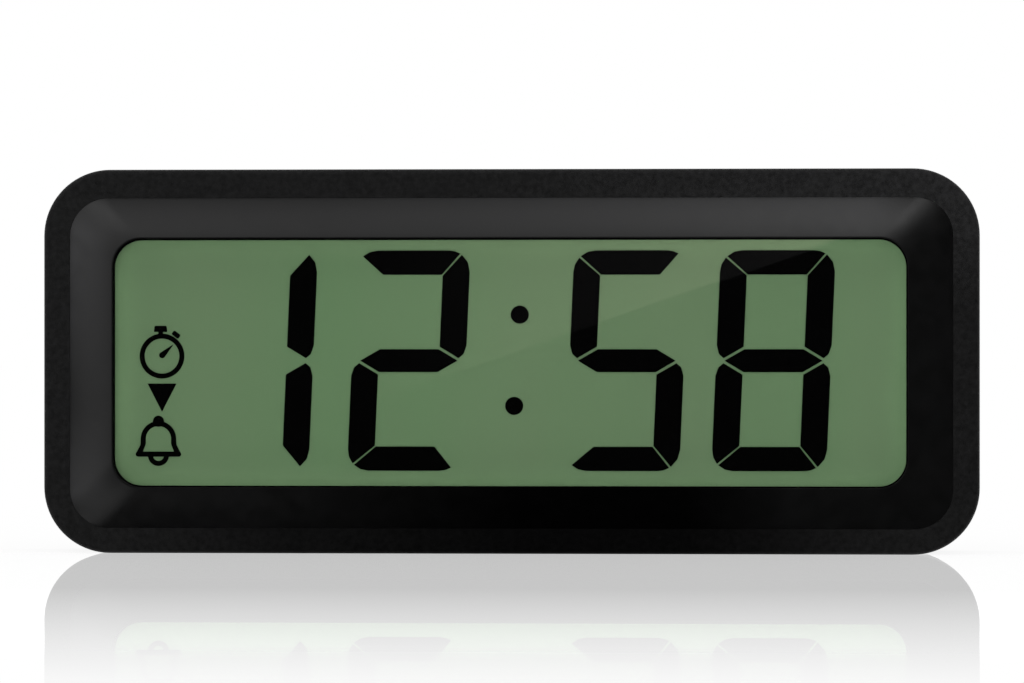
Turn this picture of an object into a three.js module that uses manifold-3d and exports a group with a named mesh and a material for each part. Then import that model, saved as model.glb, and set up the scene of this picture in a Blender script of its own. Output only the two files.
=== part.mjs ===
// A digital desk clock with a large reflective display, standing upright on its flat bottom edge.
//
// Sizes are in millimetres. X runs to the viewer's right, Z up, and Y from the front to the back.
// Depths are measured backwards from the crest of the raised bezel, so the front is at depth 0.
// The last lines move the model forward by half its depth, which puts the origin under its middle.

import * as THREE from "three";
import { mergeVertices } from "three/addons/utils/BufferGeometryUtils.js";
import Module from "manifold-3d";

// Case
const CASE_WIDTH = 176;
const CASE_HEIGHT = 72.3;
const CASE_CORNER = 12.5;
const WALL = 2;
const RIM_DEPTH = 3.2; // how far the flat rim lies behind the bezel's crest
const RIM_EDGE = 1; // rounding of the rim's outer edge
const PARTING_DEPTH = 12;
const SEAM_DEPTH = 0.4; // shadow groove at the parting line
const SEAM_WIDTH = 0.5;
const LIP_LENGTH = 1.4; // tongue of the rear shell inside the front shell
const LIP_WALL = 1;
const DRAFT = 1.6; // inward lean of the rear shell's top and sides
const BACK_ROUNDING = 3;
const BASE_ROUNDING = 1.5; // rounding of the back's bottom edge, which stands on the table

// Bezel and window
const RIM_SIDE = 5.1; // widths of the flat rim round the bezel
const RIM_TOP = 5.5;
const RIM_BOTTOM = 4.9;
const BEZEL_CORNER = 7.2;
const BEZEL_STEP = 2.2; // depth of the pocket in the rim that holds the bezel
const BEZEL_BULGE = 0.22; // crown of the sloping face
const BEZEL_CREST = 0.25; // flat width of the crest round the window
const BEZEL_LEDGE = 1; // ledge behind the window
const BEZEL_SIDE_WALL = 1.6;
const POCKET_LEDGE = 1.6;
const SLOPE_SIDE = 8.5; // widths of the bezel from its outer edge to the window
const SLOPE_TOP = 7.7;
const SLOPE_BOTTOM = 7.9;
const WINDOW_CORNER = 5.1;
const LENS_RECESS = 0.3;
const LENS_THICKNESS = 1.2;
const LENS_MARGIN = 0.3; // overlap of the lens on its tape, seen as a black line
const TAPE_THICKNESS = 0.3;

// Display stack
const DISPLAY_MARGIN_X = 2.1; // glass hidden behind the bezel at each end, and above and below
const DISPLAY_MARGIN_Z = 2.35;
const POLARIZER_THICKNESS = 0.2;
const GLASS_THICKNESS = 1;
const CELL_GAP = 0.15;
const SEGMENT_RELIEF = 0.12;
const REFLECTOR_THICKNESS = 0.25;
const CONTACT_LEDGE = 1.6; // strip of front glass that the rear glass leaves free for the connectors
const HOLDER_WALL_X = 1.6;
const HOLDER_WALL_Z = 1.1;
const HOLDER_PLATE = 1.4;
const HOLDER_CORNER = 1;
const ZEBRA_THICKNESS = 1.3;
const ZEBRA_INSET = 6.5; // from each end of the glass

// Digits: sizes of one upright seven-segment digit before it is leaned over
const DIGIT_WIDTH = 21.5;
const DIGIT_MARGIN = 2.45; // above and below the digits in the window
const DIGIT_BAR = 4.55; // thickness of the top and bottom segments
const DIGIT_POST = 5.05; // thickness of the upright segments
const DIGIT_MIDDLE = 4.3; // thickness of the middle segment
const DIGIT_CORNER = 4;
const DIGIT_WAIST = 2.5; // rounding of the uprights at the middle
const DIGIT_TIP = 1.4; // how far the middle joint lies inside the digit's side
const DIGIT_GAP = 0.36;
const DIGIT_LEAN = THREE.MathUtils.degToRad(2.5);
const DIGIT_RISE = 0.35; // centre of the digits above the centre of the window
const DIGIT_LEFT_CUT = THREE.MathUtils.degToRad(44);
const DIGIT_RIGHT_CUT = THREE.MathUtils.degToRad(56);
const HOUR_TENS_X = -47.8;
const HOUR_UNITS_X = -19;
const MINUTE_TENS_X = 22;
const MINUTE_UNITS_X = 49.5;
const COLON_RADIUS = 1.71;
const COLON_UPPER = [1.9, 9]; // places from the middle of the window
const COLON_LOWER = [0.85, -8.15];

// Main board
const BOARD_POST_GAP = 0.5; // between the board and the screw posts
const BOARD_MARGIN = 0.3; // board past the display, above and below
const BOARD_STANDOFF = 1.2;
const BOARD_THICKNESS = 1.2;
const BOARD_ROOM = 3.1; // behind the board, for solder tabs and leads
const STAKE_RADIUS = 0.9;
const STAKE_INSET = 5;
const TACT_SIZE = 6;
const TACT_HEIGHT = 3.5;
const TACT_PLUNGER_RADIUS = 1.7;
const TACT_PLUNGER_RISE = 0.9;
const TACT_WELL = 2.2; // depth of the well in which the plunger moves

// Rear buttons
const BUTTON_COUNT = 5;
const BUTTON_PITCH = 10;
const BUTTON_FROM_SIDE = 18; // first button from the side of the case
const BUTTONS_BELOW_BOARD_TOP = 9.75;
const BUTTON_WIDTH = 6.6;
const BUTTON_HEIGHT = 4.4;
const BUTTON_PROUD = 0.9;
const BUTTON_FLANGE = 0.7; // how far the retaining flange reaches past the cap
const BUTTON_FLANGE_THICKNESS = 0.9;
const BUTTON_STEM_RADIUS = 1.5;
const BUTTON_TRAVEL = 0.6;

// Mode slider
const SLIDER_SHARE = 0.565; // of the way up from the sounder to the buttons
const SLIDER_KNOB_WIDTH = 4.4;
const SLIDER_KNOB_HEIGHT = 3.4;
const SLIDER_PROUD = 1.1;
const SLIDER_TRAVEL = 3; // to each side of the middle place
const SLIDER_FLANGE_THICKNESS = 0.9;
const SLIDER_FLANGE_HEIGHT = 6;
const SLIDER_STEM = 3.2;
const SLIDER_GROOVE_PITCH = 1.2;
const SLIDER_GROOVE_DEPTH = 0.4;
const SWITCH_BODY_WIDTH = 11.5;
const SWITCH_BODY_HEIGHT = 4.6;
const SWITCH_BODY_DEPTH = 3;
const SWITCH_LEVER = 1.5;
const SWITCH_LEVER_RISE = 2;
const SWITCH_SLOT_DEPTH = 1.6;

// Sounder
const SOUNDER_HEIGHT = 17.5;
const SOUNDER_RADIUS = 10;
const SOUNDER_THICKNESS = 0.35;
const CERAMIC_RADIUS = 7;
const CERAMIC_THICKNESS = 0.25;
const SOUNDER_CHAMBER = 1;
const SOUNDER_RING_WALL = 1.2;
const SOUND_HOLE_RADIUS = 0.8;
const SOUND_HOLE_PITCH = 3.4;

// Batteries and their bay: two AAA cells, one above the other
const CELL_RADIUS = 5.25;
const CELL_LENGTH = 44.5;
const CELL_TIP_RADIUS = 1.9;
const CELL_TIP_LENGTH = 0.8;
const CELL_SHOULDER = 1; // length of the crimp below the tip
const CELL_END_RADIUS = 4.35; // flat of the negative end
const CELL_END_ROUNDING = 0.6;
const CELL_PITCH = 11.5;
const BAY_DROP = 0.65; // centre of the bay below the centre of the case
const BAY_FROM_SIDE = 11;
const SPRING_ROOM = 4.3; // length of a fitted contact spring
const BAY_SIDE_CLEARANCE = 0.5;
const BAY_WALL = 1.4;
const BAY_FLOOR = 1.1;
const BAY_RIB = 0.6;
const BAY_RIB_INSET = 8;
const CELL_FLOOR_CLEARANCE = 0.2;
const CELL_DOOR_CLEARANCE = 0.5;
const CONTACT_THICKNESS = 0.4;
const CONTACT_MARGIN = 1; // between a contact plate's edges and the walls of the bay
const SPRING_WIRE = 0.4;
const SPRING_TURNS = 4;
const SPRING_BASE_RADIUS = 3.2;
const SPRING_TOP_RADIUS = 2;
const TAB_WIDTH = 3;
const TAB_REACH = 1.6;

// Battery door
const DOOR_THICKNESS = 1.6;
const DOOR_OVERLAP = 2.5; // how far the door reaches past the bay
const DOOR_GAP = 0.25;
const DOOR_CORNER = 2;
const DOOR_TAB_WIDTH = 6;
const DOOR_TAB_LENGTH = 1.2;
const DOOR_TAB_THICKNESS = 0.8;
const DOOR_TAB_LIP = 0.6; // skin of the back over each tab
const DOOR_TAB_INSET = 11;
const DOOR_LATCH_WIDTH = 12;
const DOOR_LATCH_LENGTH = 6;
const DOOR_LATCH_SLIT = 0.7;
const DOOR_GRIP_RIBS = 4;
const DOOR_GRIP_PITCH = 1.3;
const DOOR_GRIP_WIDTH = 9;
const DOOR_GRIP_DEPTH = 0.3;
const DOOR_SCOOP_WIDTH = 14;
const DOOR_SCOOP_HEIGHT = 8.4;
const DOOR_SCOOP_DEPTH = 1.4;

// Stand
const STAND_FROM_SIDE = 68; // between the stand and the side of the case
const STAND_LENGTH = 41.5;
const STAND_THICKNESS = 2.5;
const STAND_FOOT_THICKNESS = 1.9;
const STAND_TAPER = 3.5; // on each side
const STAND_FOOT_CORNER = 4;
const STAND_SHOULDER = 6; // straight length beside the barrel
const STAND_PIVOT_FROM_TOP = 21.8;
const STAND_GAP = 0.5;
const STAND_FLOOR = 1.6;
const STAND_PIN_RADIUS = 1.1;
const STAND_PIN_LENGTH = 1.9;
const STAND_PIN_CLEARANCE = 0.2;
const STAND_PAN_WALL = 3.4;
const STAND_NOTCH_RADIUS = 6;
const STAND_NOTCH_DEPTH = 2.6;
const STAND_GRIP_RIBS = 4;
const STAND_GRIP_PITCH = 1.8;
const STAND_GRIP_DEPTH = 0.4;
const STAND_GRIP_RISE = 3.4; // lowest grip groove above the foot
const STAND_HEAD = 8; // length beside the barrel that keeps the full thickness

// Screws and the posts that take them
const POST_INSET = 10.5;
const FRONT_POST_RADIUS = 3;
const REAR_POST_RADIUS = 4;
const SCREW_HEAD_RADIUS = 2.5;
const SCREW_HEAD_HEIGHT = 1.6;
const SCREW_SHANK_RADIUS = 1.3;
const SCREW_CLEARANCE = 0.3;
const SCREW_SEAT_RISE = 5; // height of the rear post below the screw's head
const SCREW_BITE = 3.4;
const HOLDER_SCREW_HEAD = 1.9;
const HOLDER_SCREW_SHANK = 0.8;
const HOLDER_SCREW_HEIGHT = 1.1;
const EAR_HEIGHT = 7;
const EAR_REACH = 5.2;
const EAR_THICKNESS = 1;
const EAR_SPREAD = 14; // height of the ears above and below the middle of the display

// Inner leads
const LEAD_RADIUS = 0.6;
const LEAD_FROM_CHIP = 1; // between the chip's cover and the pads of the battery leads
const LEAD_DROP = 4; // pad below the contact
const PAD_SPREAD = 6; // between the two pads of the sounder

// Clearances
const FIT = 0.1; // between pieces that are pushed together
const RUN = 0.25; // round pieces that move
const OVER = 0.5; // how far a cutter reaches past the face that it opens

// Places worked out from the sizes above
const BEZEL_WIDTH = CASE_WIDTH - 2 * RIM_SIDE;
const BEZEL_HEIGHT = CASE_HEIGHT - RIM_TOP - RIM_BOTTOM;
const BEZEL_Z = RIM_BOTTOM + BEZEL_HEIGHT / 2;
const WINDOW_WIDTH = BEZEL_WIDTH - 2 * SLOPE_SIDE;
const WINDOW_HEIGHT = BEZEL_HEIGHT - SLOPE_TOP - SLOPE_BOTTOM;
const WINDOW_Z = RIM_BOTTOM + SLOPE_BOTTOM + WINDOW_HEIGHT / 2;
const DISPLAY_WIDTH = WINDOW_WIDTH + 2 * DISPLAY_MARGIN_X;
const DISPLAY_HEIGHT = WINDOW_HEIGHT + 2 * DISPLAY_MARGIN_Z;
const ZEBRA_LENGTH = DISPLAY_WIDTH - 2 * ZEBRA_INSET;
const DIGIT_HEIGHT = WINDOW_HEIGHT - 2 * DIGIT_MARGIN;
const DIGIT_CENTRE_HEIGHT = WINDOW_Z + DIGIT_RISE;
const BOARD_WIDTH = CASE_WIDTH - 2 * (POST_INSET + FRONT_POST_RADIUS + BOARD_POST_GAP);
const BOARD_HEIGHT = DISPLAY_HEIGHT + 2 * BOARD_MARGIN;
const BUTTON_FIRST_X = BUTTON_FROM_SIDE - CASE_WIDTH / 2;
const SLIDER_X = BUTTON_FIRST_X + 2 * BUTTON_PITCH;
const SOUNDER_X = SLIDER_X;
const BUTTON_ROW_HEIGHT = WINDOW_Z + BOARD_HEIGHT / 2 - BUTTONS_BELOW_BOARD_TOP;
const SLIDER_HEIGHT = SOUNDER_HEIGHT + (BUTTON_ROW_HEIGHT - SOUNDER_HEIGHT) * SLIDER_SHARE;
const STAND_PIVOT_HEIGHT = CASE_HEIGHT - STAND_PIVOT_FROM_TOP;
const BEZEL_SEAT = RIM_DEPTH + BEZEL_STEP;
const POCKET_BACK = BEZEL_SEAT + POCKET_LEDGE;
const LENS_BACK = LENS_RECESS + LENS_THICKNESS;
const TAPE_BACK = LENS_BACK + TAPE_THICKNESS;
const LEDGE_BACK = TAPE_BACK + BEZEL_LEDGE;
const POLARIZER_FRONT = LEDGE_BACK + FIT;
const FRONT_GLASS_FRONT = POLARIZER_FRONT + POLARIZER_THICKNESS;
const FRONT_GLASS_BACK = FRONT_GLASS_FRONT + GLASS_THICKNESS;
const REAR_GLASS_FRONT = FRONT_GLASS_BACK + CELL_GAP;
const REAR_GLASS_BACK = REAR_GLASS_FRONT + GLASS_THICKNESS;
const REFLECTOR_BACK = REAR_GLASS_BACK + REFLECTOR_THICKNESS;
const HOLDER_FRONT = REFLECTOR_BACK + FIT;
const HOLDER_BACK = HOLDER_FRONT + HOLDER_PLATE;
const BOARD_FRONT = HOLDER_BACK + BOARD_STANDOFF;
const BOARD_BACK = BOARD_FRONT + BOARD_THICKNESS;
const BAY_FLOOR_FRONT = BOARD_BACK + BOARD_ROOM;
const BAY_FLOOR_BACK = BAY_FLOOR_FRONT + BAY_FLOOR;
const CELL_DEPTH = BAY_FLOOR_BACK + CELL_FLOOR_CLEARANCE + CELL_RADIUS;
const DOOR_FRONT = CELL_DEPTH + CELL_RADIUS + CELL_DOOR_CLEARANCE;
const CASE_DEPTH = DOOR_FRONT + DOOR_THICKNESS;
const BACK_INNER = CASE_DEPTH - WALL;
const HOLDER_WIDTH = DISPLAY_WIDTH + 2 * (HOLDER_WALL_X + FIT);
const HOLDER_HEIGHT = DISPLAY_HEIGHT + 2 * (HOLDER_WALL_Z + FIT);
const REAR_GLASS_HEIGHT = DISPLAY_HEIGHT - 2 * CONTACT_LEDGE;
const BAY_HEIGHT = CELL_PITCH + 2 * (CELL_RADIUS + BAY_SIDE_CLEARANCE);
const BAY_CENTRE_HEIGHT = CASE_HEIGHT / 2 - BAY_DROP;
const BAY_LENGTH = CELL_LENGTH + SPRING_ROOM + 4 * FIT + 2 * CONTACT_THICKNESS;
const BAY_RIGHT = CASE_WIDTH / 2 - BAY_FROM_SIDE;
const BAY_LEFT = BAY_RIGHT - BAY_LENGTH;
const BAY_MIDDLE_X = (BAY_LEFT + BAY_RIGHT) / 2;
const STAND_WIDTH = CASE_WIDTH - 2 * STAND_FROM_SIDE;
const STAND_FOOT_WIDTH = STAND_WIDTH - 2 * STAND_TAPER;
const STAND_GRIP_WIDTH = STAND_FOOT_WIDTH / 2;
const DOOR_WIDTH = BAY_LENGTH + 2 * DOOR_OVERLAP;
const DOOR_HEIGHT = BAY_HEIGHT + 2 * DOOR_OVERLAP;
const DOOR_BOTTOM = BAY_CENTRE_HEIGHT - DOOR_HEIGHT / 2;
const DOOR_TOP = BAY_CENTRE_HEIGHT + DOOR_HEIGHT / 2;
const STAND_AXIS_DEPTH = CASE_DEPTH - STAND_THICKNESS / 2;
const STAND_RECESS_BACK = CASE_DEPTH - STAND_THICKNESS - STAND_GAP;
const PLUNGER_TOP = BOARD_BACK + TACT_HEIGHT + TACT_PLUNGER_RISE;

const wasm = await Module();
wasm.setup();

// A closed three.js geometry as a solid that can be joined and cut.
function solidOf(geometry) {
  const bare = geometry.clone();
  bare.deleteAttribute("normal");
  bare.deleteAttribute("uv");
  const merged = mergeVertices(bare);
  return new wasm.Manifold(
    new wasm.Mesh({
      numProp: 3,
      vertProperties: merged.attributes.position.array,
      triVerts: new Uint32Array(merged.index.array),
    }),
  );
}

// The finished solid as a three.js geometry with flat facets.
function geometryOf(solid) {
  const mesh = solid.getMesh();
  const geometry = new THREE.BufferGeometry();
  geometry.setAttribute("position", new THREE.BufferAttribute(mesh.vertProperties, 3));
  geometry.setIndex(new THREE.BufferAttribute(mesh.triVerts, 1));
  const faceted = geometry.toNonIndexed();
  faceted.computeVertexNormals();
  return faceted;
}

function join(...solids) {
  return solids.reduce((whole, part) => whole.add(part));
}

function cut(whole, ...tools) {
  return tools.reduce((rest, tool) => rest.subtract(tool), whole);
}

// A rounded rectangle in the X-Z plane.
function roundedRect(centreX, centreZ, width, height, radius) {
  const right = width / 2 - radius;
  const top = height / 2 - radius;
  const shape = new THREE.Shape();
  shape.absarc(centreX + right, centreZ + top, radius, 0, Math.PI / 2);
  shape.absarc(centreX - right, centreZ + top, radius, Math.PI / 2, Math.PI);
  shape.absarc(centreX - right, centreZ - top, radius, Math.PI, 1.5 * Math.PI);
  shape.absarc(centreX + right, centreZ - top, radius, 1.5 * Math.PI, 2 * Math.PI);
  return shape;
}

// A flat shape given thickness between two depths.
function slab(shape, front, back, arcSteps = 2) {
  const settings = { depth: back - front, bevelEnabled: false, curveSegments: arcSteps };
  const geometry = new THREE.ExtrudeGeometry(shape, settings);
  return solidOf(geometry.rotateX(Math.PI / 2).translate(0, back, 0));
}

// A box between two corners, each given as X, depth and Z.
function block([left, front, bottom], [right, back, top]) {
  const geometry = new THREE.BoxGeometry(right - left, back - front, top - bottom);
  return solidOf(geometry.translate((left + right) / 2, (front + back) / 2, (bottom + top) / 2));
}

// A round rod that runs from the front to the back.
function rod(x, z, radius, front, back, sides = 12) {
  const geometry = new THREE.CylinderGeometry(radius, radius, back - front, sides);
  return solidOf(geometry.translate(x, (front + back) / 2, z));
}

// A round rod that runs from left to right.
function crossRod(left, right, depth, z, radius, sides = 16) {
  const geometry = new THREE.CylinderGeometry(radius, radius, right - left, sides);
  return solidOf(geometry.rotateZ(Math.PI / 2).translate((left + right) / 2, depth, z));
}

// The points of a rounded rectangle at one depth, counterclockwise as seen from the front.
function ring(depth, left, right, bottom, top, radius, steps = 6) {
  const corners = [
    [right - radius, top - radius, 0],
    [left + radius, top - radius, 1],
    [left + radius, bottom + radius, 2],
    [right - radius, bottom + radius, 3],
  ];
  return corners.flatMap(([x, z, quarter]) =>
    Array.from({ length: steps + 1 }, (_, i) => {
      const angle = (quarter + i / steps) * (Math.PI / 2);
      return [x + radius * Math.cos(angle), depth, z + radius * Math.sin(angle)];
    }),
  );
}

// A closed skin over rings of equal point counts, from the front ring to the back ring.
function loft(rings) {
  const count = rings[0].length;
  const triangles = [];
  for (let level = 0; level + 1 < rings.length; level++)
    for (let i = 0; i < count; i++) {
      const here = level * count + i;
      const next = level * count + ((i + 1) % count);
      triangles.push(here, here + count, next, next, here + count, next + count);
    }
  const last = (rings.length - 1) * count;
  for (let i = 1; i + 1 < count; i++) {
    triangles.push(0, i, i + 1);
    triangles.push(last, last + i + 1, last + i);
  }
  const geometry = new THREE.BufferGeometry();
  geometry.setAttribute("position", new THREE.Float32BufferAttribute(rings.flat(2), 3));
  geometry.setIndex(triangles);
  return solidOf(geometry);
}

// A tube along a smooth curve through a few points.
function tube(points, radius, steps, sides = 8) {
  const path = new THREE.CatmullRomCurve3(points.map((point) => new THREE.Vector3(...point)));
  const section = new THREE.Shape();
  for (let i = 0; i < sides; i++) {
    const angle = (2 * Math.PI * i) / sides;
    const place = [radius * Math.cos(angle), radius * Math.sin(angle)];
    if (i === 0) section.moveTo(...place);
    else section.lineTo(...place);
  }
  return solidOf(new THREE.ExtrudeGeometry(section, { extrudePath: path, steps }));
}

// The case outline at one depth, drawn in on the top and sides and, by another amount, at the bottom.
function caseRing(depth, inset, bottomInset = inset) {
  const half = CASE_WIDTH / 2 - inset;
  const radius = Math.max(CASE_CORNER - inset, 1);
  return ring(depth, -half, half, bottomInset, CASE_HEIGHT - inset, radius);
}

const postPlaces = [-1, 1].flatMap((side) =>
  [POST_INSET, CASE_HEIGHT - POST_INSET].map((z) => [side * (CASE_WIDTH / 2 - POST_INSET), z]),
);

const earPlaces = [-1, 1].flatMap((side) =>
  [-EAR_SPREAD, EAR_SPREAD].map((rise) => [side, WINDOW_Z + rise]),
);
const EAR_X = HOLDER_WIDTH / 2 + EAR_REACH / 2 - FIT;

// Front shell: flat rim, side walls, the pocket for the bezel and the screw posts.
function frontShell() {
  const edge = [1, 0.75, 0.5, 0.25].map((share) => {
    const angle = (share * Math.PI) / 2;
    const depth = RIM_DEPTH + RIM_EDGE * (1 - Math.sin(angle));
    return caseRing(depth, RIM_EDGE * (1 - Math.cos(angle)));
  });
  const outside = loft([...edge, caseRing(RIM_DEPTH + RIM_EDGE, 0), caseRing(PARTING_DEPTH, 0)]);
  const inside = loft([caseRing(POCKET_BACK, WALL), caseRing(PARTING_DEPTH + OVER, WALL)]);
  const pocket = slab(
    roundedRect(0, BEZEL_Z, BEZEL_WIDTH + 2 * FIT, BEZEL_HEIGHT + 2 * FIT, BEZEL_CORNER + FIT),
    RIM_DEPTH - OVER,
    BEZEL_SEAT,
    4,
  );
  const opening = slab(
    roundedRect(0, WINDOW_Z, HOLDER_WIDTH + 2 * RUN, HOLDER_HEIGHT + 2 * RUN, HOLDER_CORNER + RUN),
    RIM_DEPTH,
    POCKET_BACK,
  );
  const posts = postPlaces.map(([x, z]) =>
    cut(
      rod(x, z, FRONT_POST_RADIUS, POCKET_BACK - OVER, PARTING_DEPTH),
      rod(x, z, SCREW_SHANK_RADIUS + FIT, PARTING_DEPTH - SCREW_BITE - OVER, PARTING_DEPTH + OVER),
    ),
  );
  const screwHoles = earPlaces.map(([side, z]) =>
    rod(side * EAR_X, z, HOLDER_SCREW_SHANK + FIT, BEZEL_SEAT + OVER / 2, POCKET_BACK + OVER, 10),
  );
  return cut(join(cut(outside, inside), ...posts), pocket, opening, ...screwHoles);
}

// Bezel: a hollow frame whose face rises from the rim to a crest round the window.
function bezelInsert() {
  const opening = LENS_MARGIN + FIT;
  const inner = { width: WINDOW_WIDTH + 2 * opening, height: WINDOW_HEIGHT + 2 * opening };
  const faceRing = (share) => {
    const mix = (from, to) => from + (to - from) * share;
    const halfX = mix(BEZEL_WIDTH, inner.width + 2 * BEZEL_CREST) / 2;
    const halfZ = mix(BEZEL_HEIGHT, inner.height + 2 * BEZEL_CREST) / 2;
    const middle = mix(BEZEL_Z, WINDOW_Z);
    const depth = RIM_DEPTH * (1 - share) - 4 * BEZEL_BULGE * share * (1 - share);
    const radius = mix(BEZEL_CORNER, WINDOW_CORNER + opening + BEZEL_CREST);
    return ring(depth, -halfX, halfX, middle - halfZ, middle + halfZ, radius);
  };
  const base = ring(
    BEZEL_SEAT,
    -BEZEL_WIDTH / 2,
    BEZEL_WIDTH / 2,
    BEZEL_Z - BEZEL_HEIGHT / 2,
    BEZEL_Z + BEZEL_HEIGHT / 2,
    BEZEL_CORNER,
  );
  const face = loft([...[1, 0.75, 0.5, 0.25, 0].map(faceRing), base]);
  const lensSeat = slab(
    roundedRect(0, WINDOW_Z, inner.width, inner.height, WINDOW_CORNER + opening),
    -OVER,
    TAPE_BACK,
    4,
  );
  const window = slab(
    roundedRect(0, WINDOW_Z, WINDOW_WIDTH, WINDOW_HEIGHT, WINDOW_CORNER),
    0,
    BEZEL_SEAT,
    4,
  );
  const displayRoom = slab(
    roundedRect(0, WINDOW_Z, HOLDER_WIDTH + 2 * RUN, HOLDER_HEIGHT + 2 * RUN, HOLDER_CORNER + RUN),
    LEDGE_BACK,
    BEZEL_SEAT + OVER,
  );
  const hollow = slab(
    roundedRect(
      0,
      BEZEL_Z,
      BEZEL_WIDTH - 2 * BEZEL_SIDE_WALL,
      BEZEL_HEIGHT - 2 * BEZEL_SIDE_WALL,
      BEZEL_CORNER - BEZEL_SIDE_WALL,
    ),
    RIM_DEPTH + BEZEL_LEDGE,
    BEZEL_SEAT + OVER,
  );
  return cut(face, lensSeat, window, displayRoom, hollow);
}

function lens() {
  const size = [WINDOW_WIDTH + 2 * LENS_MARGIN, WINDOW_HEIGHT + 2 * LENS_MARGIN];
  const shape = roundedRect(0, WINDOW_Z, ...size, WINDOW_CORNER + LENS_MARGIN);
  return slab(shape, LENS_RECESS, LENS_BACK, 4);
}

function lensTape() {
  const size = [WINDOW_WIDTH + 2 * LENS_MARGIN, WINDOW_HEIGHT + 2 * LENS_MARGIN];
  const outline = roundedRect(0, WINDOW_Z, ...size, WINDOW_CORNER + LENS_MARGIN);
  const window = roundedRect(0, WINDOW_Z, WINDOW_WIDTH, WINDOW_HEIGHT, WINDOW_CORNER);
  return cut(slab(outline, LENS_BACK, TAPE_BACK, 4), slab(window, LENS_BACK - OVER, TAPE_BACK + OVER, 4));
}

function displayPlate(height, front, back) {
  return slab(roundedRect(0, WINDOW_Z, DISPLAY_WIDTH, height, FIT), front, back, 1);
}

// A point on the rounded outer corner of a digit, measured from the digit's middle.
function cornerPoint(angle) {
  const x = DIGIT_WIDTH / 2 - DIGIT_CORNER + DIGIT_CORNER * Math.cos(angle);
  const y = DIGIT_HEIGHT / 2 - DIGIT_CORNER + DIGIT_CORNER * Math.sin(angle);
  return [x, y];
}

// The points of an arc on that corner.
function cornerArc(from, to) {
  return [0, 0.5, 1].map((share) => cornerPoint(from + (to - from) * share));
}

// A level segment at the top (turn 1) or bottom (turn -1) of a digit.
function barPoints(turn) {
  const slip = DIGIT_GAP / 2 / DIGIT_CORNER;
  const innerX = DIGIT_WIDTH / 2 - DIGIT_POST - DIGIT_GAP / 2;
  const innerY = DIGIT_HEIGHT / 2 - DIGIT_BAR;
  const right = cornerArc(DIGIT_RIGHT_CUT + slip, Math.PI / 2);
  const left = cornerArc(Math.PI / 2, DIGIT_LEFT_CUT + slip).map(([x, y]) => [-x, y]);
  return [[innerX, innerY], ...right, ...left, [-innerX, innerY]].map(([x, y]) => [x, turn * y]);
}

// An upright segment: side 1 is right and -1 left, turn 1 is the upper half and -1 the lower.
function postPoints(side, turn) {
  const half = DIGIT_WIDTH / 2;
  const slip = DIGIT_GAP / 2 / DIGIT_CORNER;
  const cutAngle = side > 0 ? DIGIT_RIGHT_CUT : DIGIT_LEFT_CUT;
  const innerX = half - DIGIT_POST;
  const waist = [
    [half - DIGIT_TIP, DIGIT_GAP * 1.3],
    [half - DIGIT_TIP * 0.35, DIGIT_WAIST / 2],
    [half, DIGIT_WAIST + DIGIT_GAP],
  ];
  const upper = cornerArc(0, cutAngle - slip);
  const inner = [
    [innerX, DIGIT_HEIGHT / 2 - DIGIT_BAR - DIGIT_GAP / 2],
    [innerX, DIGIT_MIDDLE / 2 + DIGIT_GAP * 1.3],
  ];
  return [...waist, ...upper, ...inner].map(([x, y]) => [side * x, turn * y]);
}

function middlePoints() {
  const tip = DIGIT_WIDTH / 2 - DIGIT_TIP - DIGIT_GAP / 2;
  const flat = DIGIT_WIDTH / 2 - DIGIT_POST - DIGIT_GAP / 2;
  const half = DIGIT_MIDDLE / 2;
  return [[tip, 0], [flat, half], [-flat, half], [-tip, 0], [-flat, -half], [flat, -half]];
}

const SEGMENTS = {
  top: () => barPoints(1),
  bottom: () => barPoints(-1),
  middle: middlePoints,
  upperRight: () => postPoints(1, 1),
  lowerRight: () => postPoints(1, -1),
  upperLeft: () => postPoints(-1, 1),
  lowerLeft: () => postPoints(-1, -1),
};
const LIT = {
  1: ["upperRight", "lowerRight"],
  2: ["top", "upperRight", "middle", "lowerLeft", "bottom"],
  5: ["top", "upperLeft", "middle", "lowerRight", "bottom"],
  8: Object.keys(SEGMENTS),
};

// The raised segments of one lit digit, leaned over to the right.
function digit(number, centreX, front, back) {
  return LIT[number].map((name) => {
    const leaned = SEGMENTS[name]().map(
      ([x, y]) =>
        new THREE.Vector2(centreX + x + y * Math.tan(DIGIT_LEAN), DIGIT_CENTRE_HEIGHT + y),
    );
    return slab(new THREE.Shape(leaned), front, back);
  });
}

// Rear glass with the dark segments in relief, and the raised seal round its edge.
function rearGlass() {
  const glass = displayPlate(REAR_GLASS_HEIGHT, REAR_GLASS_FRONT, REAR_GLASS_BACK);
  const front = REAR_GLASS_FRONT - SEGMENT_RELIEF;
  const back = REAR_GLASS_FRONT + SEGMENT_RELIEF;
  const digits = [
    ...digit(1, HOUR_TENS_X, front, back),
    ...digit(2, HOUR_UNITS_X, front, back),
    ...digit(5, MINUTE_TENS_X, front, back),
    ...digit(8, MINUTE_UNITS_X, front, back),
  ];
  const colon = [COLON_UPPER, COLON_LOWER].map(([x, rise]) =>
    rod(x, WINDOW_Z + rise, COLON_RADIUS, front, back, 20),
  );
  return join(glass, ...digits, ...colon);
}

const zebraPlaces = [1, -1].map((side) => WINDOW_Z + (side * (DISPLAY_HEIGHT - CONTACT_LEDGE)) / 2);

function zebraStrip(z) {
  const half = ZEBRA_THICKNESS / 2;
  return block([-ZEBRA_LENGTH / 2, FRONT_GLASS_BACK, z - half], [ZEBRA_LENGTH / 2, BOARD_FRONT, z + half]);
}

const stakePlaces = [-1, 0, 1].flatMap((column) =>
  [-1, 1].map((row) => [
    column * (BOARD_WIDTH / 2 - STAKE_INSET),
    WINDOW_Z + row * (BOARD_HEIGHT / 2 - STAKE_INSET),
  ]),
);

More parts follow.
